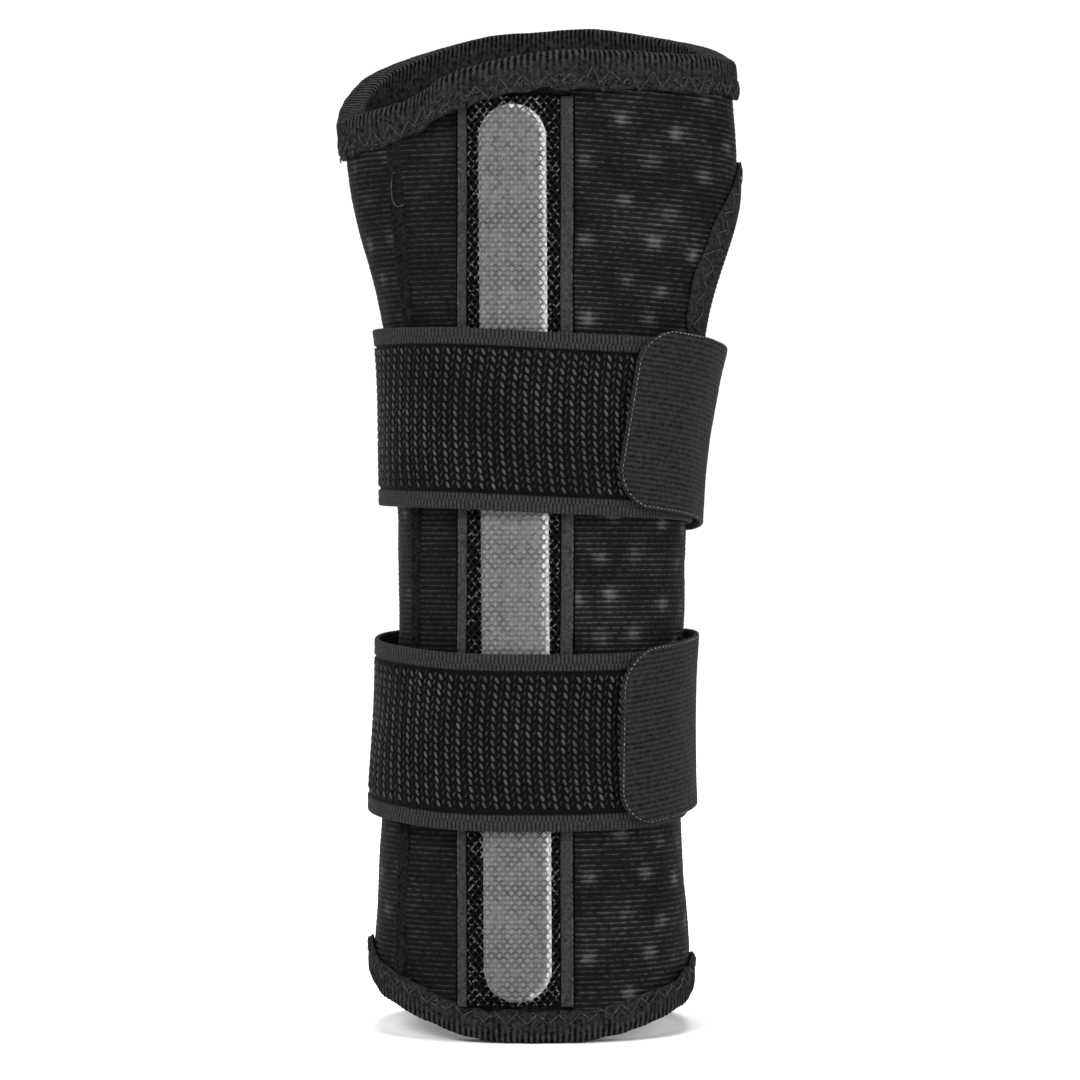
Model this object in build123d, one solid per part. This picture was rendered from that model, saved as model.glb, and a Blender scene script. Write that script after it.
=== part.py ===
"""Left-hand wrist splint: a padded fabric sleeve with a flat metal stay in a mesh pocket on its back-of-hand
side, bound edges, a thumb hole, and two elastic straps that wrap once round and close on themselves.

The sleeve stands on its forearm end. +Z runs towards the fingers, -Y is the dorsal (back-of-hand) side and
+X is the radial (thumb) side. Angles are in degrees, from +X round the dorsal side to the ulnar side, and a
place on the sleeve is given by its angle, its height and its offset from the sleeve's outer face. Millimetres.
"""
from build123d import *

import math
import os

# ---- sleeve: distance of its outer face from the axis, at evenly spaced heights from the forearm end up
STATION_PITCH = 24.0
ULNAR = (35.6, 34.9, 33.2, 30.8, 30.1, 31.0, 32.9, 38.2, 42.3, 42.4)
RADIAL = (32.0, 31.3, 29.6, 29.4, 30.9, 31.0, 34.2, 40.9, 41.3, 39.6)
PALMAR = (31.8, 31.2, 29.6, 28.0, 26.8, 26.6, 28.0, 30.4, 30.6, 28.0)
DORSAL_AT_BASE = 26.2
DORSAL_SLOPE = 0.014              # the dorsal side leans in this much per millimetre of height
SQUARENESS = 2.5                  # superellipse exponent of every cross-section

# ---- sleeve ends: height of the cut edge every 30 degrees round the sleeve
HAND_EDGE = (203.5, 202.3, 202.5, 201.6, 198.5, 191.5, 191.0, 204.5, 211.8, 213.4, 213.8, 210.0)
FOREARM_EDGE = (9.8, 6.3, 2.1, 0.7, 2.0, 7.8, 13.3, 6.8, 1.4, 0.7, 1.1, 4.8)

# ---- fabric layers, as offsets of their outer and inner faces
KNIT = (0.0, -0.65)
FOAM = (-0.8, -2.95)
LINING = (-3.1, -3.6)
WALL = (0.0, -3.6)

# ---- panels of the sleeve, and the two seams between them
ULNAR_SEAM, PALMAR_SEAM = 148.5, 308.0
DORSAL_SEAM = 99.0                # the knit panels meet here, under the pocket
SEAM_HALF_GAP = 0.3
SEAM_TAPE_HALF_WIDTH = 2.4
SEAM_TAPE = (0.5, 0.15)

# ---- binding tape, folded over each cut edge
HAND_BINDING_WIDTH = 7.0
FOREARM_BINDING_WIDTH = 5.6
THUMB_BINDING_WIDTH = 6.5
BINDING_CLEARANCE = 0.2
BINDING_THICKNESS = 0.75
POCKET_MOUTH_ANGLE = 101.0
POCKET_MOUTH_BULGE = 2.9          # the hand binding stands off this far, where the stay goes in under it

# ---- thumb hole, an ellipse cut in through the radial side
THUMB_Y, THUMB_Z = 4.0, 157.0
THUMB_HALF_WIDTH, THUMB_HALF_HEIGHT = 14.0, 20.0

# ---- stay and pocket: x across, heights along the dorsal side, and levels above the dorsal line
STAY_WIDTH, STAY_THICKNESS = 13.8, 1.5
STAY_BOTTOM, STAY_TOP = 8.6, 192.0
STAY_X = -5.1
STAY_LEAN = 0.4                   # degrees, the fingers' end towards the ulnar side
STAY_CLEARANCE = 0.25
BACKING_LEVEL = 0.3
STAY_LEVEL = 0.45
NET_THICKNESS = 0.5
POCKET_LEFT, POCKET_RIGHT = -14.9, 4.1
POCKET_LOW, POCKET_HIGH = 7.6, 194.0
ULNAR_TAPE_WIDTH, RADIAL_TAPE_WIDTH = 1.9, 2.6
TAPE_LEVEL = 1.0

# ---- straps
STRAP_THICKNESS = 1.2
HOOK_THICKNESS = 0.4
TAB_CORNER = 8.0
FRONT_RUN = (-8.0, 189.6)         # sewn to the sleeve at the radial side, over the dorsal side to the ulnar side
ANCHOR = (-15.0, -8.5)
PALMAR_RUN = (190.4, 322.6)
TAB_RUN = (323.4, 426.0)
SECTION_STEP = 10.0
ROW_PITCH = 11.0                  # spacing of the points down each section


def smooth(values, place):
    """Catmull-Rom curve through evenly spaced values; place counts them from 0."""
    last = len(values) - 1
    index = min(max(math.floor(place), 0), last - 1)
    t = place - index
    a, b, c, d = (values[min(max(index + k, 0), last)] for k in (-1, 0, 1, 2))
    return 0.5 * (2 * b + (c - a) * t + (2 * a - 5 * b + 4 * c - d) * t**2 + (3 * b - a - 3 * c + d) * t**3)


def round_the_sleeve(values, angle):
    """Smooth curve through values given every 30 degrees, closed on itself."""
    turn = values[-1:] + values + values[:2]
    return smooth(turn, (angle % 360) / 30 + 1)


def sleeve_point(angle, height, offset):
    """The point at an angle and height, at an offset from the sleeve's outer face."""
    across = math.cos(math.radians(angle))
    forward = math.sin(math.radians(angle))
    side = RADIAL if across >= 0 else ULNAR
    half_width = smooth(side, height / STATION_PITCH) + offset
    if forward >= 0:
        half_depth = DORSAL_AT_BASE - DORSAL_SLOPE * height + offset
    else:
        half_depth = smooth(PALMAR, height / STATION_PITCH) + offset
    power = abs(across / half_width) ** SQUARENESS + abs(forward / half_depth) ** SQUARENESS
    radius = power ** (-1 / SQUARENESS)
    return Vector(radius * across, -radius * forward, height)


def spread(start, stop, step):
    """Evenly spaced numbers from start to stop, about step apart."""
    count = max(2, round(abs(stop - start) / step))
    return [start + (stop - start) * i / count for i in range(count + 1)]


def sheet_section(angle, faces, low, high):
    """Outline of a sheet cut through at one angle; faces gives its outer and inner offsets at a height."""
    heights = spread(low, high, ROW_PITCH)
    out = [sleeve_point(angle, height, faces(height)[0]) for height in heights]
    back = [sleeve_point(angle, height, faces(height)[1]) for height in reversed(heights)]
    edges = [Spline(*out), Line(out[-1], back[0]), Spline(*back), Line(back[-1], out[0])]
    return Wire(edges)


def sleeve_layer(layer, start, stop, margin=0.0):
    """One layer of the sleeve between two angles, stopping margin short of both cut edges."""
    sections = []
    for angle in spread(start, stop, SECTION_STEP):
        low = round_the_sleeve(FOREARM_EDGE, angle) + margin
        high = round_the_sleeve(HAND_EDGE, angle) - margin
        sections.append(sheet_section(angle, lambda height: layer, low, high))
    return Solid.make_loft(sections)


def thumb_plug(grow):
    """Plug through the radial side only, larger all round than the thumb hole by grow."""
    radial_side = Plane(origin=(12, THUMB_Y, THUMB_Z), x_dir=(0, 1, 0), z_dir=(1, 0, 0))
    outline = radial_side * Ellipse(THUMB_HALF_WIDTH + grow, THUMB_HALF_HEIGHT + grow)
    return extrude(outline, 45)


def panel(layer, start, stop, margin=0.0):
    """A layer with its share of the thumb hole cut out."""
    return sleeve_layer(layer, start, stop, margin) - thumb_plug(0)


def seam_tape(angle):
    """Narrow tape over a seam, from one end binding to the other."""
    low = round_the_sleeve(FOREARM_EDGE, angle) + FOREARM_BINDING_WIDTH + 0.5
    high = round_the_sleeve(HAND_EDGE, angle) - HAND_BINDING_WIDTH - 0.5
    around = spread(angle - SEAM_TAPE_HALF_WIDTH, angle + SEAM_TAPE_HALF_WIDTH, 2.4)
    return Solid.make_loft([sheet_section(a, lambda height: SEAM_TAPE, low, high) for a in around])


def mouth_bulge(angle):
    """How far the hand binding stands off the sleeve to make the mouth of the pocket."""
    from_mouth = abs(angle % 360 - POCKET_MOUTH_ANGLE)
    share = min(max((42 - from_mouth) / 17, 0), 1)
    return POCKET_MOUTH_BULGE * share * share * (3 - 2 * share)


def binding_section(angle, edge, down, width, bulge):
    """U-shaped outline of tape folded over a cut edge; down is -1 at the hand end and +1 at the forearm end."""
    rim = edge - down * (BINDING_CLEARANCE + BINDING_THICKNESS)
    fold = edge - down * BINDING_CLEARANCE
    hem = edge + down * width
    outside = bulge + BINDING_CLEARANCE
    inside = WALL[1] - BINDING_CLEARANCE
    corners = [
        (outside, hem), (outside + BINDING_THICKNESS, hem), (outside + BINDING_THICKNESS, rim),
        (inside - BINDING_THICKNESS, rim), (inside - BINDING_THICKNESS, hem), (inside, hem),
        (inside, fold), (outside, fold),
    ]
    return Wire.make_polygon([sleeve_point(angle, height, offset) for offset, height in corners])


def hand_binding():
    """Tape round the hand end, with a slot in its fold for the stay."""
    seam = PALMAR_SEAM - 360
    sections = []
    for angle in spread(seam + SEAM_HALF_GAP, seam + 360 - SEAM_HALF_GAP, SECTION_STEP):
        edge = round_the_sleeve(HAND_EDGE, angle)
        sections.append(binding_section(angle, edge, -1, HAND_BINDING_WIDTH, mouth_bulge(angle)))
    slot = out_of_pocket(stay_outline(STAY_CLEARANCE, 60), -0.1, STAY_LEVEL + STAY_THICKNESS + STAY_CLEARANCE)
    return Solid.make_loft(sections) - slot


def forearm_binding():
    """Tape round the forearm end, pressed flat where the splint stands on it."""
    seam = PALMAR_SEAM - 360
    sections = []
    for angle in spread(seam + SEAM_HALF_GAP, seam + 360 - SEAM_HALF_GAP, SECTION_STEP):
        edge = round_the_sleeve(FOREARM_EDGE, angle)
        sections.append(binding_section(angle, edge, 1, FOREARM_BINDING_WIDTH, 0))
    below_ground = Pos(0, 0, -5) * Box(120, 120, 10)
    return Solid.make_loft(sections) - below_ground


def thumb_binding():
    """Tape folded over the edge of the thumb hole."""
    reach = (BINDING_CLEARANCE + BINDING_THICKNESS, WALL[1] - BINDING_CLEARANCE - BINDING_THICKNESS)
    kept_clear = (BINDING_CLEARANCE, WALL[1] - BINDING_CLEARANCE)
    tape = radial_patch(reach) & thumb_plug(THUMB_BINDING_WIDTH)
    tape -= thumb_plug(-BINDING_CLEARANCE - BINDING_THICKNESS)
    return tape - (radial_patch(kept_clear) - thumb_plug(-BINDING_CLEARANCE))


def radial_patch(layer):
    """Part of a layer of the sleeve, large enough to hold the thumb binding."""
    heights = (THUMB_Z - 30, THUMB_Z + 30)
    around = spread(-62, 62, SECTION_STEP)
    return Solid.make_loft([sheet_section(a, lambda height: layer, *heights) for a in around])


# ---- the pocket's plane lies on the dorsal line: x across, y towards the fingers, z out from the sleeve
POCKET = Plane(origin=(0, -DORSAL_AT_BASE, 0), x_dir=(1, 0, 0), z_dir=(0, -1, DORSAL_SLOPE))


def pocket_block(left, right, low, high, bottom, top):
    """Box in the pocket's plane."""
    outline = Pos((left + right) / 2, (low + high) / 2, bottom) * Rectangle(right - left, high - low)
    return extrude(POCKET * outline, top - bottom)


def stay_outline(grow, longer=0.0):
    """Round-ended outline of the stay, grown all round and made longer at the fingers' end."""
    length = STAY_TOP - STAY_BOTTOM + 2 * grow + longer
    middle = (STAY_TOP + STAY_BOTTOM + longer) / 2
    return Pos(STAY_X, 100) * Rot(0, 0, STAY_LEAN) * Pos(0, middle - 100) * SlotOverall(
        length, STAY_WIDTH + 2 * grow, rotation=90)


def out_of_pocket(outline, bottom, top):
    """Solid of an outline between two levels of the pocket's plane."""
    return extrude(POCKET * Pos(0, 0, bottom) * outline, top - bottom)


def dorsal_stay():
    """Flat aluminium bar with round ends and slightly eased edges."""
    bar = out_of_pocket(stay_outline(0), STAY_LEVEL, STAY_LEVEL + STAY_THICKNESS)
    return chamfer(bar.faces().sort_by(Axis.Y)[0].edges(), 0.2)


def pocket_backing():
    """Plain tape sewn over the knit, with the flat face that the stay lies on."""
    left, right = POCKET_LEFT - ULNAR_TAPE_WIDTH, POCKET_RIGHT + RADIAL_TAPE_WIDTH
    strip = pocket_block(left, right, POCKET_LOW, POCKET_HIGH, -4.0, BACKING_LEVEL)
    return strip - sleeve_layer((KNIT[0] + 0.05, -9.0), DORSAL_SEAM - 45, DORSAL_SEAM + 45)


def pocket_net():
    """Net over the stay: a flat margin on both sides and a raised channel, open at the fingers' end."""
    net_level = BACKING_LEVEL + 0.05
    roof = STAY_LEVEL + STAY_THICKNESS + STAY_CLEARANCE
    margin = pocket_block(POCKET_LEFT, POCKET_RIGHT, POCKET_LOW, POCKET_HIGH, net_level, net_level + NET_THICKNESS)
    channel = out_of_pocket(stay_outline(STAY_CLEARANCE + NET_THICKNESS, 30), net_level, roof + NET_THICKNESS)
    room = out_of_pocket(stay_outline(STAY_CLEARANCE, 40), 0, roof)
    above = pocket_block(-30, 30, POCKET_HIGH, POCKET_HIGH + 60, -1, 10)
    return margin + channel - room - above


def pocket_tape(left, right):
    """Flat tape sewn down over an edge of the net."""
    return pocket_block(left, right, POCKET_LOW, POCKET_HIGH, BACKING_LEVEL + 0.05, TAPE_LEVEL)


class Strap:
    """One strap: its middle height, and the gap under its lower and upper edges.

    Each list has a value every 30 degrees from -30 to 450: the front run, the palmar run, then the tab that
    comes round again over the start of the front run.
    """

    def __init__(self, width, middle, low_gap, high_gap, tip):
        self.width = width
        self.middle = middle
        self.low_gap = low_gap
        self.high_gap = high_gap
        self.tip = tip

    def at(self, values, angle):
        return smooth(values, (angle + 30) / 30)

    def gap(self, angle, height):
        """Gap under the strap, graded from its lower edge to its upper edge."""
        share = (height - self.at(self.middle, angle)) / self.width + 0.5
        low = self.at(self.low_gap, angle)
        return low + (self.at(self.high_gap, angle) - low) * share

    def band(self, run, inner, outer, narrower=0.0):
        """Part of the strap between two angles, with its faces at two levels above the gap."""
        sections = []
        for angle in spread(*run, SECTION_STEP):
            middle = self.at(self.middle, angle)
            half = self.width / 2 - narrower

            def faces(height):
                gap = self.gap(angle, height)
                return gap + outer, gap + inner

            sections.append(sheet_section(angle, faces, middle - half, middle + half))
        return Solid.make_loft(sections)

    def tab_outline(self, inset):
        """Outline of the tab's free end seen from the front, with round corners."""
        low_x, high_x = self.tip
        low, high = self.width / -2 + inset, self.width / 2 - inset
        near, far = self.at(self.middle, 420), self.at(self.middle, 390)
        rise = (far - near) * 3
        corners = [
            (low_x + inset, near + low), (high_x + inset, near + high),
            (high_x + 50, near + high + rise + 1), (low_x + 50, near + low + rise - 1),
        ]
        outline = Plane.XZ * make_face(Polyline(*corners, close=True))
        free = outline.vertices().sort_by(Axis.X)[:2]
        return fillet(free, TAB_CORNER - inset)

    def tab(self, inner, outer, start, inset=0.0):
        """The tab's band, trimmed to the outline of its free end."""
        front = extrude(self.tab_outline(inset), 60)
        round_the_side = Pos(30, 30, self.at(self.middle, 360)) * Box(80, 60, 60)
        return self.band((start, TAB_RUN[1]), inner, outer, inset) & (front + round_the_side)


UPPER = Strap(
    width=37.0,
    middle=(124.6, 125.0, 125.6, 126.2, 126.8, 127.6, 128.2, 128.6, 128.4, 127.4, 126.2, 124.8, 123.4,
            124.4, 126.6, 128.6, 130.4),
    low_gap=(0.4, 0.4, 0.6, 1.9, 3.2, 4.6, 3.2, 2.4, 1.2, 0.6, 0.5, 0.6, 1.6, 2.0, 2.4, 3.8, 5.4),
    high_gap=(1.4, 1.4, 1.4, 1.9, 3.2, 4.4, 2.2, 0.8, 0.6, 0.5, 0.5, 1.2, 3.0, 4.2, 3.4, 3.8, 5.4),
    tip=(15.0, 21.0),
)
LOWER = Strap(
    width=36.0,
    middle=(64.6, 63.6, 62.4, 61.6, 61.5, 61.8, 63.2, 64.6, 65.4, 66.0, 66.4, 66.2, 65.8,
            65.4, 64.0, 62.0, 60.0),
    low_gap=(0.4, 0.4, 0.5, 1.9, 3.2, 4.6, 3.0, 1.9, 1.0, 0.6, 0.5, 0.6, 1.4, 2.0, 2.3, 3.8, 5.4),
    high_gap=(0.4, 0.4, 0.5, 1.9, 3.2, 4.6, 4.0, 3.4, 1.8, 0.8, 0.5, 0.6, 1.4, 2.0, 2.3, 3.8, 5.4),
    tip=(16.2, 16.8),
)


def strap_parts(name, strap):
    """The pieces of one strap, by node name."""
    fabric = (0, STRAP_THICKNESS)
    hook = (0, HOOK_THICKNESS)
    backing = (HOOK_THICKNESS + 0.05, HOOK_THICKNESS + STRAP_THICKNESS)
    return {
        f"{name}_strap_front": strap.band(FRONT_RUN, *fabric),
        f"{name}_strap_anchor": strap.band(ANCHOR, 0, 0.9, 1.5),
        f"{name}_strap_palmar": strap.band(PALMAR_RUN, *fabric),
        f"{name}_tab": strap.tab(*backing, TAB_RUN[0]),
        f"{name}_hook_patch": strap.tab(*hook, 352, 1.2),
    }


def splint_parts():
    """Every piece of the splint, by node name."""
    gap = SEAM_HALF_GAP
    turn = PALMAR_SEAM - 360
    radial_tape = (POCKET_RIGHT + 0.05, POCKET_RIGHT + RADIAL_TAPE_WIDTH)
    ulnar_tape = (POCKET_LEFT - ULNAR_TAPE_WIDTH, POCKET_LEFT - 0.05)
    parts = {
        "lining": panel(LINING, turn + gap, PALMAR_SEAM - gap, 0.3),
        "dorsal_foam": panel(FOAM, turn + gap, ULNAR_SEAM - gap, 0.3),
        "palmar_foam": panel(FOAM, ULNAR_SEAM + gap, PALMAR_SEAM - gap, 0.3),
        "radial_knit_panel": panel(KNIT, turn + gap, DORSAL_SEAM - gap),
        "ulnar_knit_panel": sleeve_layer(KNIT, DORSAL_SEAM + gap, ULNAR_SEAM - gap),
        "palmar_knit_panel": panel(KNIT, ULNAR_SEAM + gap, PALMAR_SEAM - gap),
        "ulnar_seam_tape": seam_tape(ULNAR_SEAM),
        "palmar_seam_tape": seam_tape(PALMAR_SEAM),
        "hand_binding": hand_binding(),
        "forearm_binding": forearm_binding(),
        "thumb_binding": thumb_binding(),
        "pocket_backing": pocket_backing(),
        "pocket_net": pocket_net(),
        "pocket_tape_radial": pocket_tape(*radial_tape),
        "pocket_tape_ulnar": pocket_tape(*ulnar_tape),
        "dorsal_stay": dorsal_stay(),
    }
    parts.update(strap_parts("upper", UPPER))
    parts.update(strap_parts("lower", LOWER))
    return parts


os.makedirs("parts", exist_ok=True)
for node, shape in splint_parts().items():
    export_step(shape, f"parts/{node}.step")
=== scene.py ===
# Left-hand wrist splint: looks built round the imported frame. All shapes are worked out in millimetres, on the
# splint's own round-the-arm coordinates, and turned to metres when they go into a mesh.
import math

import bpy
import numpy as np
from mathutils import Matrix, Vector


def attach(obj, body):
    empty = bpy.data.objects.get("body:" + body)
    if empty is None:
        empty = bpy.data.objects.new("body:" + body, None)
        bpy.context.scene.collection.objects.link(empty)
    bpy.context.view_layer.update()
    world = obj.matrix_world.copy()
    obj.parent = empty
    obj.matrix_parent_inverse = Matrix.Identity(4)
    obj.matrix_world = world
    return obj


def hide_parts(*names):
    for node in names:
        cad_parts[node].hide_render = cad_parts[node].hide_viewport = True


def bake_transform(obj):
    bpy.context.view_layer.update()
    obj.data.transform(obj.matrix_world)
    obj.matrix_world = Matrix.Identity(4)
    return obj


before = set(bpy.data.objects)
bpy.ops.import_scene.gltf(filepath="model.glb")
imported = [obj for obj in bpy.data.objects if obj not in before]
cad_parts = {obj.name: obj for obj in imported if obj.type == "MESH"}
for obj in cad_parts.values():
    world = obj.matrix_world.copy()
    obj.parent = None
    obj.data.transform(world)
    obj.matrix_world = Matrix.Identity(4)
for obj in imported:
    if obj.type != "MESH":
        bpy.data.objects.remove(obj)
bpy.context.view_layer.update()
print("frame loaded:", len(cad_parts), "nodes")
metresPerMm = 0.001

# ---------- the sleeve's form
sleeve = {
    "stationPitch": 24.0,          # heights between the girths below, forearm end first
    "ulnar": (35.6, 34.9, 33.2, 30.8, 30.1, 31.0, 32.9, 38.2, 42.3, 42.4),
    "radial": (32.0, 31.3, 29.6, 29.4, 30.9, 31.0, 34.2, 40.9, 41.3, 39.6),
    "palmar": (31.8, 31.2, 29.6, 28.0, 26.8, 26.6, 28.0, 30.4, 30.6, 28.0),
    "dorsalAtBase": 26.2,
    "dorsalSlope": 0.014,
    "squareness": 2.5,             # superellipse exponent
    "handEdge": (203.5, 202.3, 202.5, 201.6, 198.5, 191.5, 191.0, 204.5, 211.8, 213.4, 213.8, 210.0),
    "forearmEdge": (9.8, 6.3, 2.1, 0.7, 2.0, 7.8, 13.3, 6.8, 1.4, 0.7, 1.1, 4.8),
    "wall": 3.6,
}
thumb = {"y": 4.0, "z": 157.0, "halfWidth": 14.0, "halfHeight": 20.0}


# Catmull-Rom: a cubic through each pair of values, with slopes from their neighbours
def smooth(values, place):
    values = np.asarray(values, float)
    place = np.asarray(place, float)
    last = len(values) - 1
    index = np.clip(np.floor(place), 0, last - 1).astype(int)
    t = place - index
    a, b, c, d = (values[np.clip(index + k, 0, last)] for k in (-1, 0, 1, 2))
    return 0.5 * (2 * b + (c - a) * t + (2 * a - 5 * b + 4 * c - d) * t**2 + (3 * b - a - 3 * c + d) * t**3)


# the same, through values every 30 degrees that close on themselves
def roundTheSleeve(values, angle):
    values = tuple(values)
    turn = values[-1:] + values + values[:2]
    return smooth(turn, np.mod(angle, 360) / 30 + 1)


# eased step: 3 s^2 - 2 s^3, with s held between 0 and 1
def easeStep(value):
    share = np.clip(value, 0, 1)
    return share * share * (3 - 2 * share)


# half axes of the section at a height, for the side (x) and the front or back (y)
def halfAxes(angle, height, offset):
    place = np.asarray(height) / sleeve["stationPitch"]
    across, forward = np.cos(np.radians(angle)), np.sin(np.radians(angle))
    radial, ulnar = smooth(sleeve["radial"], place), smooth(sleeve["ulnar"], place)
    dorsal = sleeve["dorsalAtBase"] - sleeve["dorsalSlope"] * np.asarray(height)
    palmar = smooth(sleeve["palmar"], place)
    return np.where(across >= 0, radial, ulnar) + offset, np.where(forward >= 0, dorsal, palmar) + offset


# superellipse: (|cos|/a)^n + (|sin|/b)^n to the power -1/n is the distance from the axis at an angle
def sleevePoint(angle, height, offset):
    angle, height, offset = np.broadcast_arrays(*(np.asarray(v, float) for v in (angle, height, offset)))
    a, b = halfAxes(angle, height, offset)
    across, forward = np.cos(np.radians(angle)), np.sin(np.radians(angle))
    n = sleeve["squareness"]
    radius = ((np.abs(across) / a) ** n + (np.abs(forward) / b) ** n) ** (-1 / n)
    return np.stack([radius * across, -radius * forward, height], -1)


# the same surface on the thumb side, as x for a y and z: a (1 - (|y|/b)^n)^(1/n)
def radialPoint(y, z, offset):
    y, z, offset = np.broadcast_arrays(*(np.asarray(v, float) for v in (y, z, offset)))
    a, b = halfAxes(np.where(y < 0, 45.0, 315.0), z, offset)
    n = sleeve["squareness"]
    x = a * np.clip(1 - (np.abs(y) / b) ** n, 0, 1) ** (1 / n)
    return np.stack([x, y, z], -1)


# angles spaced evenly by arc length along an edge whose height is given round the sleeve
def evenAngles(start, stop, pitch, heightOf, perPitch=1):
    fine = np.linspace(start, stop, 1441)
    points = sleevePoint(fine, heightOf(fine), 0)
    length = np.concatenate([[0], np.cumsum(np.linalg.norm(np.diff(points, axis=0), axis=1))])
    count = max(2, int(round(length[-1] / pitch))) * perPitch
    along = np.linspace(0, length[-1], count + 1)
    return np.interp(along, length, fine), along


# smooth unevenness: a sum of cosines in random directions, about -1 to 1
def uneven(u, v, size, seed, waves=14):
    dice = np.random.default_rng(seed)
    total = 0
    for turn, stretch, phase in zip(dice.uniform(0, math.tau, waves), dice.uniform(0.6, 1.7, waves),
                                    dice.uniform(0, math.tau, waves)):
        k = math.tau * stretch / size
        total = total + np.cos(k * (u * math.cos(turn) + v * math.sin(turn)) + phase)
    return total / math.sqrt(waves)


# ---------- meshes
# quads into a mesh; a closed mesh that encloses a negative volume is turned inside out first
def quadMesh(name, points, quads, uv=None, values=None, sharpAt=None):
    used, quads = np.unique(quads, return_inverse=True)
    quads = quads.reshape(-1, 4)
    points = points[used]
    corner = [points[quads[:, k]] for k in range(4)]
    volume = (np.cross(corner[0], corner[1]) * corner[2]).sum() + (np.cross(corner[0],
                                                                            corner[2]) * corner[3]).sum()
    if volume < 0:
        quads = quads[:, ::-1]
        uv = None if uv is None else uv[:, ::-1]
    mesh = bpy.data.meshes.new(name)
    mesh.vertices.add(len(points))
    mesh.vertices.foreach_set("co", (points * metresPerMm).astype(np.float32).ravel())
    mesh.loops.add(quads.size)
    mesh.loops.foreach_set("vertex_index", quads.astype(np.int32).ravel())
    mesh.polygons.add(len(quads))
    mesh.polygons.foreach_set("loop_start", np.arange(0, quads.size, 4, dtype=np.int32))
    mesh.update(calc_edges=True)
    if uv is not None:
        mesh.uv_layers.new(name="UVMap").data.foreach_set("uv", uv.astype(np.float32).ravel())
    for key, value in (values or {}).items():
        attribute = mesh.attributes.new(key, "FLOAT", "POINT")
        attribute.data.foreach_set("value", np.asarray(value, float).ravel()[used].astype(np.float32))
    mesh.polygons.foreach_set("use_smooth", np.ones(len(quads), bool))
    if sharpAt:
        mesh.set_sharp_from_angle(angle=math.radians(sharpAt))
    mesh.validate()
    piece = bpy.data.objects.new(name, mesh)
    bpy.context.scene.collection.objects.link(piece)
    return piece


# a sheet with thickness: an outer and an inner grid, with walls wherever a kept cell has no kept neighbour
def slabMesh(name, outer, inner, uv, kept=None, closed=False, values=None, sharpAt=50):
    n, m = outer.shape[:2]
    cells = (n if closed else n - 1, m - 1)
    kept = np.ones(cells, bool) if kept is None else kept
    i, j = np.nonzero(kept)
    i, j = i[:, None], j[:, None]

    def vertex(di, dj, layer):
        return ((i + di) % n) * m + j + dj + layer * n * m

    def place(di, dj):
        return np.concatenate([uv[i + di, j + dj]], axis=1)

    ring = ((0, 0), (1, 0), (1, 1), (0, 1))
    quads = [np.concatenate([vertex(*c, 0) for c in ring], 1),
             np.concatenate([vertex(*c, 1) for c in ring[::-1]], 1)]
    places = [np.concatenate([place(*c) for c in ring], 1),
              np.concatenate([place(*c) for c in ring[::-1]], 1)]
    padded = np.pad(kept, ((0, 0), (1, 1)))
    around = np.concatenate([padded[-1:], padded, padded[:1]]) if closed else np.pad(padded, ((1, 1), (0, 0)))
    walls = (((2, 1), (1, 1), (1, 0)), ((0, 1), (0, 0), (0, 1)), ((1, 2), (0, 1), (1, 1)),
             ((1, 0), (1, 0), (0, 0)))
    for step, first, second in walls:
        bare = ~around[i[:, 0] + step[0], j[:, 0] + step[1]]
        strip = [vertex(*first, 0), vertex(*second, 0), vertex(*second, 1), vertex(*first, 1)]
        quads.append(np.concatenate(strip, 1)[bare])
        places.append(np.concatenate([place(*c) for c in (first, second, second, first)], 1)[bare])
    points = np.concatenate([outer.reshape(-1, 3), inner.reshape(-1, 3)])
    values = {key: np.concatenate([value.ravel(), value.ravel()]) for key, value in (values or {}).items()}
    places = np.concatenate(places).reshape(-1, 4, 2)
    return quadMesh(name, points, np.concatenate(quads), places, values, sharpAt)


# many threads at once: a ring of points round each place of each path, closed by quads at both ends
def threadMesh(name, paths, radius, up, sides=6, flatness=1.0, values=None):
    paths = np.asarray(paths, float)
    count, steps = paths.shape[:2]
    up = np.broadcast_to(up, paths.shape)
    tangent = np.gradient(paths, axis=1)
    tangent /= np.linalg.norm(tangent, axis=2, keepdims=True) + 1e-9
    side = np.cross(tangent, up)
    side /= np.linalg.norm(side, axis=2, keepdims=True) + 1e-9
    lift = np.cross(side, tangent)
    turn = np.arange(sides) * math.tau / sides
    radius = np.broadcast_to(np.asarray(radius, float), (count, steps))[..., None, None]
    circle = side[:, :, None] * np.cos(turn)[:, None] + lift[:, :, None] * np.sin(turn)[:, None] * flatness
    points = (paths[:, :, None] + radius * circle).reshape(-1, 3)
    first = (np.arange(count) * steps * sides)[:, None, None]
    k, s = np.meshgrid(np.arange(steps - 1), np.arange(sides), indexing="ij")
    here, beside = k * sides + s, k * sides + (s + 1) % sides
    tube = np.stack([here, beside, beside + sides, here + sides], -1).reshape(1, -1, 4) + first
    caps = [(0, 3, 2, 1), (0, 5, 4, 3)] if sides == 6 else [(0, 3, 2, 1)]
    start = np.array(caps).reshape(1, -1, 4) + first
    end = np.array(caps)[:, ::-1].reshape(1, -1, 4) + (steps - 1) * sides + first
    quads = np.concatenate([part.reshape(-1, 4) for part in (tube, start, end)])
    spread = {key: np.repeat(np.broadcast_to(value, (count, steps)).ravel(), sides)
              for key, value in (values or {}).items()}
    return quadMesh(name, points, quads, values=spread)


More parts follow.
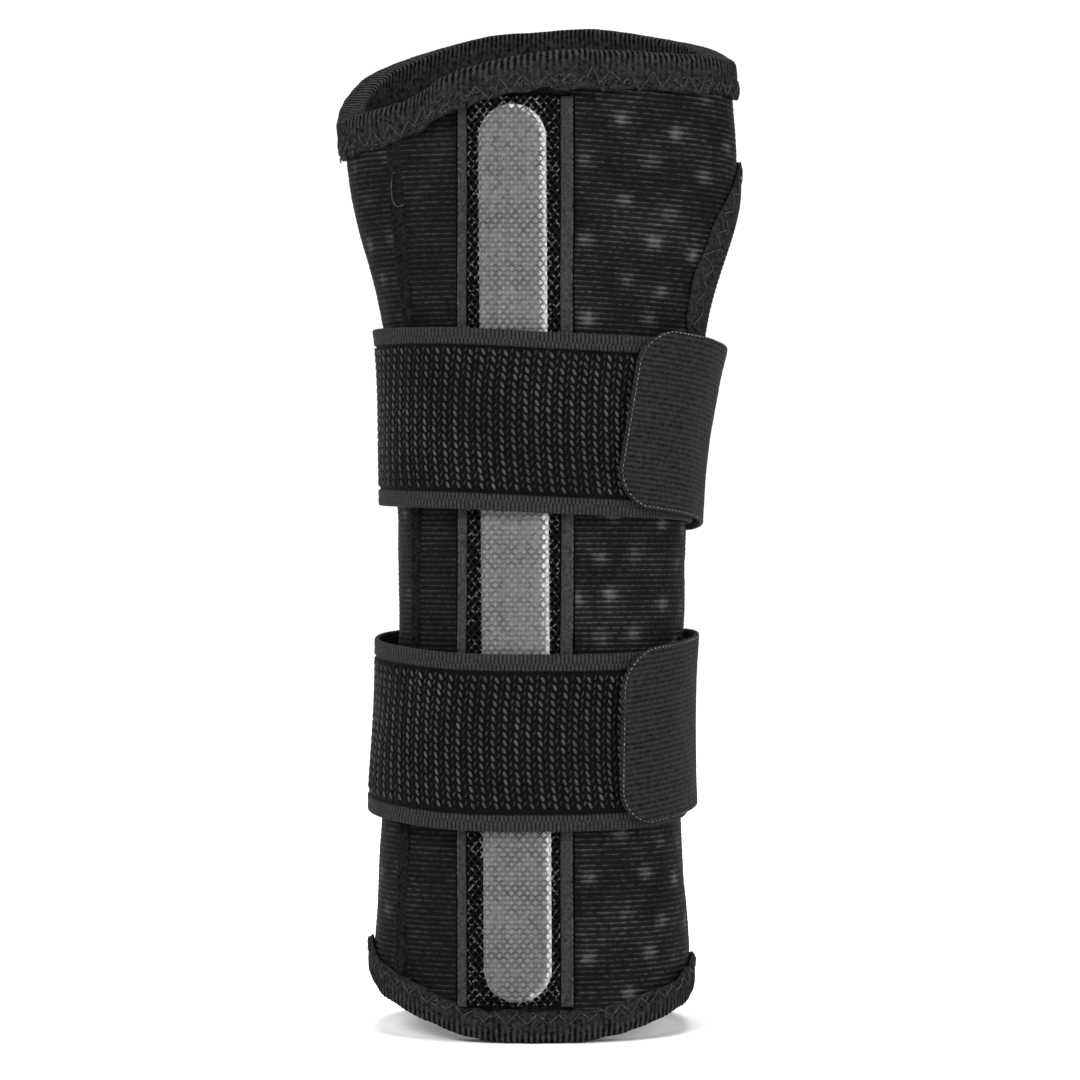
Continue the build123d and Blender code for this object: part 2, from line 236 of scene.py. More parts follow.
# quads of a tube that closes on itself both ways, from rings of equal size
def tubeQuads(count, rounds):
    i, j = np.meshgrid(np.arange(count), np.arange(rounds), indexing="ij")
    ahead, beside = (i + 1) % count, (j + 1) % rounds
    corners = (i * rounds + j, ahead * rounds + j, ahead * rounds + beside, i * rounds + beside)
    return np.stack(corners, -1).reshape(-1, 4)


# two coordinates as one array of places on the cloth
def mapped(u, v):
    return np.stack(np.broadcast_arrays(u, v), -1)


# ---------- materials
def linear(hexColour):
    parts = [int(hexColour[k:k + 2], 16) / 255 for k in (1, 3, 5)]
    return tuple(c / 12.92 if c <= 0.04045 else ((c + 0.055) / 1.055) ** 2.4 for c in parts) + (1.0,)


# one node with its settings, each input either a value or a link from another socket
def addNode(tree, kind, settings=None, inputs=None):
    node = tree.nodes.new(kind)
    for key, value in (settings or {}).items():
        setattr(node, key, value)
    for key, value in (inputs or {}).items():
        if isinstance(value, bpy.types.NodeSocket):
            tree.links.new(value, node.inputs[key])
        else:
            node.inputs[key].default_value = value
    return node


# arithmetic on up to three values or sockets
def mathNode(tree, operation, *values):
    return addNode(tree, "ShaderNodeMath", {"operation": operation}, dict(enumerate(values)))


# fine relief from a height, its strength from 0 to 1 and its depth in metres
def relief(tree, shader, height, strength, depth):
    inputs = {"Height": height, "Strength": strength, "Distance": depth}
    bump = addNode(tree, "ShaderNodeBump", inputs=inputs)
    tree.links.new(bump.outputs[0], shader.inputs["Normal"])


# a material with a given roughness and hardly any shine, and other inputs where they are wanted
def newMaterial(name, roughness, extra=None):
    material = bpy.data.materials.new(name)
    material.use_nodes = True
    tree = material.node_tree
    shader = tree.nodes["Principled BSDF"]
    shader.inputs["Roughness"].default_value = roughness
    shader.inputs["Specular IOR Level"].default_value = 0.02
    for key, value in (extra or {}).items():
        shader.inputs[key].default_value = value
    return material, tree, shader


# colour from dark to pale along a ramp
def ramp(tree, value, stops):
    node = addNode(tree, "ShaderNodeValToRGB", inputs={"Fac": value})
    elements = node.color_ramp.elements
    while len(elements) < len(stops):
        elements.new(0.5)
    for element, (position, colour) in zip(elements, stops):
        element.position = position
        element.color = linear(colour)
    return node.outputs["Color"]


# gives a piece its material and its body, and hides the imported nodes it stands for
def finish(piece, material, body, slot, *nodes):
    piece.data.materials.clear()
    piece.data.materials.append(material)
    if body:
        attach(piece, body)
    if nodes:
        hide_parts(*nodes)
    return piece


# ribbed nylon knit: fine courses with a soft broken sheen painted on their tops, since the yarn's shine comes
# and goes along each one
def ribbedKnitMaterial(name, dark, middle, pale):
    material, tree, shader = newMaterial(name, 0.62, {"IOR": 1.5})
    place = addNode(tree, "ShaderNodeUVMap", {"uv_map": "UVMap"})
    streaks = addNode(tree, "ShaderNodeMapping",
                      inputs={"Vector": place.outputs["UV"], "Scale": (0.9, 0.93, 1)})
    broken = addNode(tree, "ShaderNodeTexNoise",
                     inputs={"Vector": streaks.outputs[0], "Scale": 1.0, "Detail": 4.0,
                             "Roughness": 0.6})
    cloudy = addNode(tree, "ShaderNodeTexNoise",
                     inputs={"Vector": place.outputs["UV"], "Scale": 0.11, "Detail": 1.0})
    course = addNode(tree, "ShaderNodeAttribute", {"attribute_name": "course"})
    dimple = addNode(tree, "ShaderNodeAttribute", {"attribute_name": "dimple"})
    # painted highlight: the colour is paler on the course tops, broken by noise
    sharp = mathNode(tree, "POWER", course.outputs["Fac"], 1.6)
    sheen = mathNode(tree, "MULTIPLY_ADD", broken.outputs["Fac"], 0.75, 0.12)
    glow = mathNode(tree, "MULTIPLY", sheen.outputs[0], sharp.outputs[0])
    clouds = mathNode(tree, "MULTIPLY_ADD", cloudy.outputs["Fac"], 0.3, -0.15)
    clouded = mathNode(tree, "ADD", glow.outputs[0], clouds.outputs[0])
    withSpots = mathNode(tree, "MULTIPLY_ADD", dimple.outputs["Fac"], 0.4, clouded.outputs[0])
    colour = ramp(tree, withSpots.outputs[0], ((0.0, dark), (0.38, middle), (0.95, pale)))
    tree.links.new(colour, shader.inputs["Base Color"])
    loops = addNode(tree, "ShaderNodeMapping",
                    inputs={"Vector": place.outputs["UV"], "Scale": (1.7, 0.93, 1)})
    stitches = addNode(tree, "ShaderNodeTexVoronoi", inputs={"Vector": loops.outputs[0], "Scale": 1.0})
    relief(tree, shader, stitches.outputs["Distance"], 0.35, 0.00025)
    return material


# fuzzy black tape: brushed loops that catch light as soft mottling
def brushedTapeMaterial(name, dark, pale, grain, ribPitch=None, sheen=0.0, foldRibs=False):
    material, tree, shader = newMaterial(name, 0.85, {"Sheen Weight": sheen, "Sheen Roughness": 0.5})
    place = addNode(tree, "ShaderNodeTexCoord")
    fuzz = addNode(tree, "ShaderNodeTexNoise",
                   inputs={"Vector": place.outputs["Object"], "Scale": grain, "Detail": 5.0,
                           "Roughness": 0.65})
    height = fuzz.outputs["Fac"]
    if ribPitch:
        flat = addNode(tree, "ShaderNodeUVMap", {"uv_map": "UVMap"})
        waves = addNode(tree, "ShaderNodeTexWave", {"wave_type": "BANDS", "bands_direction": "Y"},
                        {"Vector": flat.outputs["UV"], "Scale": 0.314 / ribPitch, "Distortion": 1.2,
                         "Detail": 2.0,
                         "Detail Scale": 2.0})
        height = mathNode(tree, "MULTIPLY_ADD", waves.outputs["Fac"], 0.28, height).outputs[0]
    if foldRibs:
        # painted highlight: the tape is made paler on the rib tops along the fold
        rib = addNode(tree, "ShaderNodeAttribute", {"attribute_name": "rib"})
        height = mathNode(tree, "MULTIPLY_ADD", rib.outputs["Fac"], 0.3, height).outputs[0]
    colour = ramp(tree, height, ((0.32, dark), (0.85, pale)))
    tree.links.new(colour, shader.inputs["Base Color"])
    relief(tree, shader, height, 0.6, 0.0004)
    return material


# spun polyester sewing thread: a fine twist, a little paler than the cloth
def threadMaterial(name, dark, pale, roughness=0.55):
    material, tree, shader = newMaterial(name, roughness, {"IOR": 1.55})
    place = addNode(tree, "ShaderNodeTexCoord")
    twist = addNode(tree, "ShaderNodeTexNoise",
                    inputs={"Vector": place.outputs["Object"], "Scale": 1300.0, "Detail": 3.0})
    tree.links.new(ramp(tree, twist.outputs["Fac"], ((0.3, dark), (0.75, pale))), shader.inputs["Base Color"])
    relief(tree, shader, twist.outputs["Fac"], 0.4, 0.0001)
    return material


# yarn whose brightness follows a value stored along it, such as a paler main column and a dimmer one between
def shadedYarnMaterial(name, dark, pale, roughness=0.5):
    material, tree, shader = newMaterial(name, roughness, {"IOR": 1.53})
    shade = addNode(tree, "ShaderNodeAttribute", {"attribute_name": "shade"})
    place = addNode(tree, "ShaderNodeTexCoord")
    fleck = addNode(tree, "ShaderNodeTexNoise", inputs={"Vector": place.outputs["Object"], "Scale": 700.0})
    level = mathNode(tree, "MULTIPLY", shade.outputs["Fac"], fleck.outputs["Fac"])
    tree.links.new(ramp(tree, level.outputs[0], ((0.0, dark), (0.7, pale))), shader.inputs["Base Color"])
    return material


# anodised aluminium bar: satin, finely drawn along its length, with a painted highlight along one edge
def stayMaterial():
    material, tree, shader = newMaterial("satin_anodised_aluminium", 0.42, {"Metallic": 0.3})
    place = addNode(tree, "ShaderNodeTexCoord")
    drawn = addNode(tree, "ShaderNodeMapping",
                    inputs={"Vector": place.outputs["Object"], "Scale": (900, 900, 25)})
    lines = addNode(tree, "ShaderNodeTexNoise",
                    inputs={"Vector": drawn.outputs[0], "Scale": 1.0, "Detail": 3.0})
    # painted highlight: this attribute makes the bar paler along one edge
    paintedEdgeShine = addNode(tree, "ShaderNodeAttribute", {"attribute_name": "paintedEdgeShine"})
    shine = mathNode(tree, "MULTIPLY_ADD", paintedEdgeShine.outputs["Fac"], 0.55, lines.outputs["Fac"])
    colour = ramp(tree, shine.outputs[0], ((0.25, "#656566"), (0.78, "#808082"), (1.0, "#c8c8c8")))
    tree.links.new(colour, shader.inputs["Base Color"])
    relief(tree, shader, lines.outputs["Fac"], 0.25, 0.0001)
    return material


# perforated foam laminate: soft black cells with punched holes
def foamMaterial():
    material, tree, shader = newMaterial("perforated_foam", 0.95, {"IOR": 1.5})
    place = addNode(tree, "ShaderNodeTexCoord")
    cells = addNode(tree, "ShaderNodeTexVoronoi", inputs={"Vector": place.outputs["Object"], "Scale": 900.0})
    holes = addNode(tree, "ShaderNodeTexVoronoi", inputs={"Vector": place.outputs["Object"], "Scale": 120.0})
    both = mathNode(tree, "MULTIPLY", cells.outputs["Distance"], holes.outputs["Distance"])
    tree.links.new(ramp(tree, both.outputs[0], ((0.0, "#0b0b0b"), (0.5, "#262627"))),
                   shader.inputs["Base Color"])
    relief(tree, shader, both.outputs[0], 0.5, 0.0005)
    return material


radialKnit = ribbedKnitMaterial("ribbed_nylon_knit_radial", "#030303", "#141414", "#565656")
ulnarKnit = ribbedKnitMaterial("ribbed_nylon_knit_ulnar", "#030303", "#131313", "#484848")
palmarKnit = ribbedKnitMaterial("ribbed_nylon_knit_palmar", "#030303", "#131313", "#484848")
liningCloth = brushedTapeMaterial("brushed_lining_cloth", "#090909", "#272727", 900.0)
bindingTape = brushedTapeMaterial("woven_binding_tape", "#030303", "#343434", 1100.0, foldRibs=True)
pocketTape = brushedTapeMaterial("plain_woven_pocket_tape", "#1c1c1c", "#404040", 1500.0)
backingCloth = brushedTapeMaterial("black_backing_cloth", "#020202", "#0e0e0e", 1600.0)
tabTape = brushedTapeMaterial("brushed_loop_tape", "#030303", "#262626", 1100.0, ribPitch=1.05, sheen=0.03)
seamCloth = brushedTapeMaterial("flat_seam_tape", "#030303", "#222222", 1100.0)
seamThread = threadMaterial("black_seam_thread", "#0a0a0a", "#262626")
edgeThread = threadMaterial("pale_tab_edge_thread", "#2c2c2c", "#828282")
sewingThread = threadMaterial("spun_sewing_thread", "#141414", "#444444")
elasticYarn = shadedYarnMaterial("elastic_float_yarn", "#030303", "#4a4a4a")
netYarn = shadedYarnMaterial("smoke_nylon_net", "#030303", "#b4b4b4", 0.4)
hookNylon = threadMaterial("moulded_hook_nylon", "#101010", "#2a2a2a", 0.4)
stayMetal = stayMaterial()
foam = foamMaterial()
print("materials made")

# ---------- knit panels
knit = {
    "coursePitch": 1.08,           # height of one knitted course
    "rowsPerCourse": 3,
    "courseDepth": 0.16,
    "columnPitch": 1.35,
    "thickness": 0.5,
    "unevenness": 0.3,
    "dimplePitch": (10.5, 8.2),    # perforations of the foam, that show through as soft dips
    "dimpleRadius": 1.55,
    "dimpleDepth": 0.22,
}


# how far a place is inside the ellipse of the thumb hole, grown by a margin: below 1 is inside
def inThumbHole(points, margin):
    across = (points[..., 1] - thumb["y"]) / (thumb["halfWidth"] + margin)
    along = (points[..., 2] - thumb["z"]) / (thumb["halfHeight"] + margin)
    return np.where(points[..., 0] > 12, across**2 + along**2, 9.0)


# gentle bell-shaped dips on a staggered grid, each with its own strength
def dimples(u, v, seed, stretch=1.0):
    pitchU, pitchV = knit["dimplePitch"]
    row = np.round(v / pitchV)
    shift = (row % 2) * pitchU / 2
    column = np.round((u - shift) / pitchU)
    jitterU = 1.6 * np.sin(row * 12.9 + column * 78.2 + seed)
    jitterV = 1.6 * np.sin(row * 37.7 + column * 11.1 + seed)
    strength = 0.35 + 0.65 * np.abs(np.sin(row * 5.3 + column * 3.7 + seed))
    away = (stretch * (u - shift - column * pitchU - jitterU)) ** 2 + (v - row * pitchV - jitterV) ** 2
    return strength * np.exp(-away / knit["dimpleRadius"] ** 2)


# offset = soft unevenness + rounded courses - dimples; courses run level and sag a little towards the thumb
def knitPanel(name, node, start, stop, material, seed, dimpled, sag):
    angles, along = evenAngles(start, stop, knit["columnPitch"], lambda a: np.full_like(a, 120.0))
    rows = np.arange(0.6, 213.6, knit["coursePitch"] / knit["rowsPerCourse"])
    u, v = np.meshgrid(along, rows, indexing="ij")
    angle = np.broadcast_to(angles[:, None], u.shape)
    height = v - sag * easeStep((90 - np.abs(np.mod(angle + 180, 360) - 180)) / 90) * easeStep((v - 120) / 50)
    course = np.abs(np.sin(np.pi * v / knit["coursePitch"])) ** 0.7
    steps = np.linalg.norm(np.gradient(sleevePoint(angle, height, 0), axis=0), axis=2)
    stretch = steps / np.gradient(along)[:, None]
    spots = dimples(u, v, seed, stretch) if dimpled else np.zeros_like(u)
    offset = knit["unevenness"] * uneven(u, v, 34, seed) - 0.35 * knit["unevenness"]
    offset = offset + knit["courseDepth"] * (course - 1) - knit["dimpleDepth"] * spots
    offset = offset + 0.03 * uneven(u, v, 2.3, seed + 1)
    outer = sleevePoint(angle, height, np.minimum(offset, 0.35))
    inner = sleevePoint(angle, height, -knit["thickness"] - 0.1)
    low = roundTheSleeve(sleeve["forearmEdge"], angle) + 1.0
    high = roundTheSleeve(sleeve["handEdge"], angle) - 1.0
    good = (height > low) & (height < high) & (inThumbHole(outer, 1.8) > 1)
    kept = good[:-1, :-1] & good[1:, :-1] & good[:-1, 1:] & good[1:, 1:]
    piece = slabMesh(name, outer, inner, mapped(u, v), kept, values={"course": course, "dimple": spots})
    finish(piece, material, "sleeve", "ribbed_knit", node)
    return piece


pocketSides = (76.0, 121.5)
ulnarSeam, palmarSeam = 148.5, 308.0
knitPanel("radial_knit", "radial_knit_panel", palmarSeam - 360, pocketSides[0], radialKnit, 3, True, 2.4)
knitPanel("ulnar_knit", "ulnar_knit_panel", pocketSides[1], ulnarSeam, ulnarKnit, 5, False, 0.0)
knitPanel("palmar_knit", "palmar_knit_panel", ulnarSeam, palmarSeam, palmarKnit, 8, True, 0.0)
print("knit panels made")

# ---------- lining
lining = {"pitch": 2.2, "rows": 100, "softness": 0.12}


# two closed grids 0.6 mm apart, with dips over the foam's perforations
def makeLining():
    angles, along = evenAngles(-52, 308, lining["pitch"], lambda a: np.full_like(a, 120.0))
    share = np.linspace(0, 1, lining["rows"])
    angle, share = np.meshgrid(angles[:-1], share, indexing="ij")
    low = roundTheSleeve(sleeve["forearmEdge"], angle) + 0.4
    high = roundTheSleeve(sleeve["handEdge"], angle) - 0.4
    height = low + (high - low) * share
    u = np.broadcast_to(along[:-1, None], height.shape)
    soft = lining["softness"] * (uneven(u, height, 9, 21) - 1) + 0.18 * dimples(u, height, 2)
    outer = sleevePoint(angle, height, -3.05)
    inner = sleevePoint(angle, height, -3.55 + soft)
    kept = inThumbHole(sleevePoint(angle, height, 0), 3.4) > 1
    kept = kept & np.roll(kept, -1, 0)
    kept = kept[:, :-1] & kept[:, 1:]
    uMap = np.broadcast_to(along[:, None], (len(along), lining["rows"]))
    vMap = np.concatenate([height, height[:1]])
    piece = slabMesh("inner_lining", outer, inner, mapped(uMap, vMap), kept, closed=True)
    finish(piece, liningCloth, "sleeve", "lining_cloth", "lining")


makeLining()
for nodeName in ("dorsal_foam", "palmar_foam"):
    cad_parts[nodeName].data.materials.clear()
    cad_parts[nodeName].data.materials.append(foam)
print("lining made")

# ---------- bindings
binding = {
    "ribPitch": 1.15,
    "ribDepth": 0.06,
    "thickness": 0.75,
    "stitchPitch": 2.1,
    "threadRadius": 0.14,
}


# folded tape in section, as (offset from the sleeve, distance in from the cut edge), smoothed to a closed
# curve
def foldProfile(width, bulge=0.0):
    top, low = 0.95, -0.2 - sleeve["wall"]
    points = np.array([
        (0.2, width - 0.3), (0.3, width), (0.7, width + 0.1), (top - 0.02, width - 0.5), (top, width * 0.7),
        (top + 0.03, width * 0.35), (top, 0.6), (top - 0.15, -0.3), (top - 0.75, -0.85), (-1.8, -0.95),
        (low - 0.2, -0.85), (low - 0.65, -0.3), (low - 0.75, 0.6), (low - 0.75, width * 0.5),
        (low - 0.7, width - 0.3),
        (low - 0.4, width), (low, width - 0.4), (low, width * 0.5), (low, 0.8), (low + 0.5, -0.1),
        (-1.8, -0.2),
        (-0.3, -0.1), (0.2, 0.8), (0.2, width * 0.5)])
    count = len(points)
    place = np.arange(0, count, 0.5) + 1
    turn = np.concatenate([points[-1:], points, points[:2]])
    return np.stack([smooth(turn[:, 0], place), smooth(turn[:, 1], place)], -1)


# how far the binding stands off at the mouth of the pocket: 2.9 mm, eased over 17 degrees at both sides
def mouthBulge(angle):
    share = easeStep((42 - np.abs(np.mod(angle, 360) - 101)) / 17)
    return 2.9 * share


# ribs across the tape: a cosine along the edge, deepest on the fold
def ribbed(along, inFromEdge, pitch, depth):
    fold = np.exp(-np.clip(inFromEdge, 0, 20) / 2.4)
    return depth * np.cos(math.tau * along / pitch) * (0.35 + 0.9 * fold)


# the fold carried round an end of the sleeve: height = edge + distance in, offset = profile + ribs
def endBinding(name, node, edge, down, width, bulged):
    heightOf = lambda a: roundTheSleeve(edge, a)
    angles, along = evenAngles(-52, 308, binding["ribPitch"], heightOf, perPitch=4)
    angles = angles[:-1]
    profile = foldProfile(width)
    angle, offset = np.meshgrid(angles, profile[:, 0], indexing="ij")
    inward = np.broadcast_to(profile[:, 1], angle.shape)
    u = np.broadcast_to(along[:-1, None], angle.shape)
    ragged = 0.35 * uneven(u, 0 * u, 9, 31) * easeStep((inward - 3) / 3)
    puff = 0.1 * uneven(u, inward * 2, 6, 33)
    outward = np.where(offset > -1.8, 1.0, -1.0)
    lift = (ribbed(u, inward, binding["ribPitch"], binding["ribDepth"]) + np.minimum(puff, 0.1)) * outward
    lift = lift * np.where((offset > 0.35) | (offset < -3.95) | (inward < -0.4), 1, 0)
    raised = mouthBulge(angle) * easeStep((offset + 3.6) / 3.0) if bulged else 0 * angle
    height = heightOf(angle) + down * (inward + ragged) - down * np.where(inward < -0.4, 0.5 * lift, 0)
    points = sleevePoint(angle, height, offset + lift + raised)
    if down > 0:
        points[..., 2] = np.maximum(points[..., 2], 0)
    quads = tubeQuads(len(angles), profile.shape[0])
    # rib tops, strongest along the fold; the tape's material paints them paler as a painted highlight
    tops = np.exp(-np.clip(inward - 0.4, 0, 20) / 1.5) * np.cos(math.tau * u / binding["ribPitch"])
    piece = quadMesh(name, points.reshape(-1, 3), quads, values={"rib": tops})
    return finish(piece, bindingTape, "sleeve", "binding_tape", node)


# zigzag along a ring: the distance in from the edge swings between two lines, and each stitch arches a little
def zigzagPath(count, perStitch, near, far, seed, mess):
    dice = np.random.default_rng(seed)
    swing = np.where(np.arange(count + 1) % 2 == 0, near, far) + mess * dice.normal(size=count + 1)
    slip = 0.3 * mess * dice.normal(size=count + 1)
    place = np.arange(count * perStitch + 1) / perStitch
    share = place - np.floor(place)
    inward = np.interp(place, np.arange(count + 1), swing)
    arch = np.sin(np.pi * share) ** 0.5
    return place + np.interp(place, np.arange(count + 1), slip), inward, arch


# zigzag stitching round an end of the sleeve: height = edge + distance in, just above the tape
def ringStitch(name, edge, down, near, far, bulged, seed, mess):
    heightOf = lambda a: roundTheSleeve(edge, a) + down * near
    angles, along = evenAngles(-51.5, 307.5, binding["stitchPitch"], heightOf)
    place, inward, arch = zigzagPath(len(angles) - 1, 6, near, far, seed, mess)
    angle = np.interp(place, np.arange(len(angles)), angles)
    height = roundTheSleeve(edge, angle) + down * inward
    raised = mouthBulge(angle) if bulged else 0
    path = sleevePoint(angle, height, 0.98 + 0.22 * arch + raised)[None]
    up = sleevePoint(angle, height, 6.0)[None] - path
    piece = threadMesh(name, path, binding["threadRadius"], up, sides=6)
    return finish(piece, sewingThread, "sleeve", "binding_tape")


# small curls of thread pulled up along a border, each an arc of its own size and turn, standing off the tape
def borderCurls(name, edge, down, near, spread, count, seed, bulged):
    dice = np.random.default_rng(seed)
    angle = dice.uniform(-50, 306, count)[:, None]
    inward = near + spread * dice.normal(size=(count, 1))
    size = dice.uniform(0.35, 1.0, (count, 1))
    turn = dice.uniform(0, math.tau, (count, 1)) + np.linspace(0, 1, 11)[None] * dice.uniform(1.6, 4.6,
                                                                                              (count, 1))
    angles = angle + size * np.cos(turn) * 1.7
    height = roundTheSleeve(edge, angles) + down * inward + size * np.sin(turn) * 0.8
    raised = mouthBulge(angles) if bulged else 0
    path = sleevePoint(angles, height, 1.05 + 0.22 * np.sin(np.linspace(0, np.pi, 11)) + raised)
    shape = 0.12 * np.array([[0.4, 0.8, 1, 1, 1, 1, 1, 1, 1, 0.8, 0.4]])
    piece = threadMesh(name, path, shape, sleevePoint(angles, height, 9.0) - path, 4)
    finish(piece, sewingThread, "sleeve", "binding_tape")


borderCurls("hand_binding_curls", sleeve["handEdge"], -1, 5.6, 0.75, 230, 45, True)
borderCurls("forearm_binding_curls", sleeve["forearmEdge"], 1, 4.8, 0.3, 60, 46, False)
# the mouth of the stay's pocket: a slot cut down through the fold, with the outer leg left standing
# outside it
def cutMouth(piece):
    left, right, bottom, top = -13.6, 2.4, 0.1, 2.35
    corners = np.array([(x, -26.2 + 0.014 * z - level, z) for x in (left, right) for z in (183.0, 225.0)
                        for level in (bottom, top)])
    quads = np.array([(0, 1, 3, 2), (4, 6, 7, 5), (0, 4, 5, 1), (2, 3, 7, 6), (0, 2, 6, 4), (1, 5, 7, 3)])
    cutter = quadMesh("mouth_cutter", corners, quads)
    cut = piece.modifiers.new("mouth", "BOOLEAN")
    cut.operation = "DIFFERENCE"
    cut.solver = "EXACT"
    cut.object = cutter
    ready = piece.evaluated_get(bpy.context.evaluated_depsgraph_get())
    mesh = bpy.data.meshes.new_from_object(ready)
    piece.modifiers.clear()
    piece.data = mesh
    bpy.data.objects.remove(cutter)


handTape = endBinding("hand_binding_tape", "hand_binding", sleeve["handEdge"], -1, 7.0, True)
cutMouth(handTape)
endBinding("forearm_binding_tape", "forearm_binding", sleeve["forearmEdge"], 1, 5.6, False)
ringStitch("hand_binding_stitches", sleeve["handEdge"], -1, 6.6, 3.6, True, 41, 0.45)
ringStitch("forearm_binding_stitches", sleeve["forearmEdge"], 1, 5.4, 3.3, False, 43, 0.15)


# the same folded tape carried round the ellipse of the thumb hole
def thumbPoint(turn, grow, offset):
    y = thumb["y"] + (thumb["halfWidth"] + grow) * np.cos(turn)
    z = thumb["z"] + (thumb["halfHeight"] + grow) * np.sin(turn)
    return radialPoint(y, z, offset)


# turns round the thumb hole spaced evenly by arc length, and the length run at each
def evenTurns(pitch, perPitch=1):
    fine = np.linspace(0, math.tau, 721)
    points = thumbPoint(fine, 2.0, 0.0)
    length = np.concatenate([[0], np.cumsum(np.linalg.norm(np.diff(points, axis=0), axis=1))])
    count = int(round(length[-1] / pitch)) * perPitch
    along = np.linspace(0, length[-1], count + 1)
    return np.interp(along, length, fine), along


# the fold carried round the thumb hole, place = ellipse grown by the distance in, and its zigzag
def makeThumbBinding():
    turns, along = evenTurns(binding["ribPitch"], 4)
    profile = foldProfile(6.3)
    turn, offset = np.meshgrid(turns[:-1], profile[:, 0], indexing="ij")
    inward = np.broadcast_to(profile[:, 1], turn.shape)
    u = np.broadcast_to(along[:-1, None], turn.shape)
    ragged = 0.25 * uneven(u, 0 * u, 8, 51) * easeStep((inward - 3) / 3)
    outward = np.where(offset > -1.8, 1.0, -1.0)
    lift = ribbed(u, inward, binding["ribPitch"], binding["ribDepth"]) * outward
    lift = lift * np.where((offset > 0.35) | (offset < -3.95) | (inward < -0.4), 1, 0)
    points = thumbPoint(turn, inward + ragged, offset + lift)
    quads = tubeQuads(*turn.shape)
    piece = quadMesh("thumb_binding_tape", points.reshape(-1, 3), quads)
    finish(piece, bindingTape, "sleeve", "binding_tape", "thumb_binding")
    turns, along = evenTurns(binding["stitchPitch"])
    place, inward, arch = zigzagPath(len(turns) - 1, 6, 6.3, 3.8, 53, 0.2)
    turn = np.interp(place, np.arange(len(turns)), turns)
    path = thumbPoint(turn, inward, 0.98 + 0.22 * arch)[None]
    stitches = threadMesh("thumb_binding_stitches", path, binding["threadRadius"], np.array((1.0, 0.0, 0.0)))
    finish(stitches, sewingThread, "sleeve", "binding_tape")


makeThumbBinding()
print("bindings made")

# ---------- seam tapes
seam = {"halfWidth": 2.4, "rise": 0.42, "stitchPitch": 1.7, "threadRadius": 0.1}


# a narrow rounded ridge along the sleeve: rise sqrt(1 - t^2) across it, ladder stitches over both its edges
def seamTape(name, node, middle):
    rows = np.arange(0, 1.0001, 1 / 420)
    across = np.array([-1, -0.93, -0.8, -0.55, -0.25, 0, 0.25, 0.55, 0.8, 0.93, 1])
    t, share = np.meshgrid(across, rows, indexing="ij")
    angle = middle + seam["halfWidth"] * t
    low = roundTheSleeve(sleeve["forearmEdge"], angle) + 3.0
    high = roundTheSleeve(sleeve["handEdge"], angle) - 3.0
    height = low + (high - low) * share
    ridge = seam["rise"] * np.sqrt(np.clip(1 - t**2, 0, 1)) - 0.12 * np.exp(-(t / 0.16) ** 2)
    pucker = 0.05 * np.cos(math.tau * height / seam["stitchPitch"])
    outer = sleevePoint(angle, height, 0.06 + ridge + pucker * (1 - t**2))
    inner = sleevePoint(angle, height, -0.75)
    piece = slabMesh(name, outer, inner, mapped(t * 1.3, height))
    finish(piece, seamCloth, "sleeve", "seam_tape", node)
    low = float(roundTheSleeve(sleeve["forearmEdge"], middle)) + 5.5
    high = float(roundTheSleeve(sleeve["handEdge"], middle)) - 7.0
    count = int((high - low) / seam["stitchPitch"])
    base = low + seam["stitchPitch"] * np.arange(count)
    dice = np.random.default_rng(int(middle))
    t = np.linspace(-1.05, 1.05, 7)
    slant = 0.5 * seam["stitchPitch"] * t[None] * np.where(np.arange(count) % 2 == 0, 1, -1)[:, None]
    height = base[:, None] + slant + 0.08 * dice.normal(size=(count, 1))
    angle = np.broadcast_to(middle + seam["halfWidth"] * t, height.shape)
    offset = 0.16 + seam["rise"] * np.sqrt(np.clip(1 - t**2, 0, 1))
    path = sleevePoint(angle, height, np.broadcast_to(offset, height.shape))
    stitches = threadMesh(name + "_stitches", path, seam["threadRadius"],
                          sleevePoint(angle, height, 8.0) - path, 4)
    finish(stitches, seamThread, "sleeve", "seam_tape")


seamTape("ulnar_seam", "ulnar_seam_tape", ulnarSeam)
seamTape("palmar_seam", "palmar_seam_tape", palmarSeam)


# a loose end of sewing thread: a short curl lying against the cloth
def looseEnd():
    t = np.linspace(0, 1, 28)
    angle = ulnarSeam - 1.0 + 2.6 * np.sin(4.4 * t) * t
    height = 178.5 - 7.5 * t + 1.4 * np.sin(7 * t)
    path = sleevePoint(angle, height, 0.6 + 0.35 * np.sin(np.pi * t))[None]
    piece = threadMesh("loose_thread_end", path, 0.14, sleevePoint(angle, height, 8.0)[None] - path, 6)
    finish(piece, sewingThread, "sleeve", "seam_tape")


looseEnd()
print("seams made")

# ---------- pocket and stay
pocket = {
    "left": -14.9, "right": 4.1, "low": 7.6, "high": 194.0,
    "ulnarTape": 1.9, "radialTape": 2.6,
    "backing": 0.3, "tapeTop": 1.0,
    "netPitch": 0.82, "netRow": 0.98, "netRadius": 0.19,
}
stay = {"width": 13.8, "thickness": 1.5, "low": 8.6, "high": 192.0, "x": -5.1, "lean": 0.4, "level": 0.45}


# x across, y along the back of the hand, level out from it
def pocketPoint(x, y, level):
    x, y, level = np.broadcast_arrays(*(np.asarray(v, float) for v in (x, y, level)))
    slope = sleeve["dorsalSlope"]
    size = math.hypot(1, slope)
    return np.stack([x, -sleeve["dorsalAtBase"] + (slope * y - level) / size, (y + slope * level) / size], -1)


# level of the sleeve's own surface under a place of the pocket
def sleeveLevel(x, y):
    a, b = halfAxes(np.where(x < 0, 135.0, 45.0), y, 0.0)
    n = sleeve["squareness"]
    return b * (np.clip(1 - (np.abs(x) / a) ** n, 0, 1) ** (1 / n) - 1)


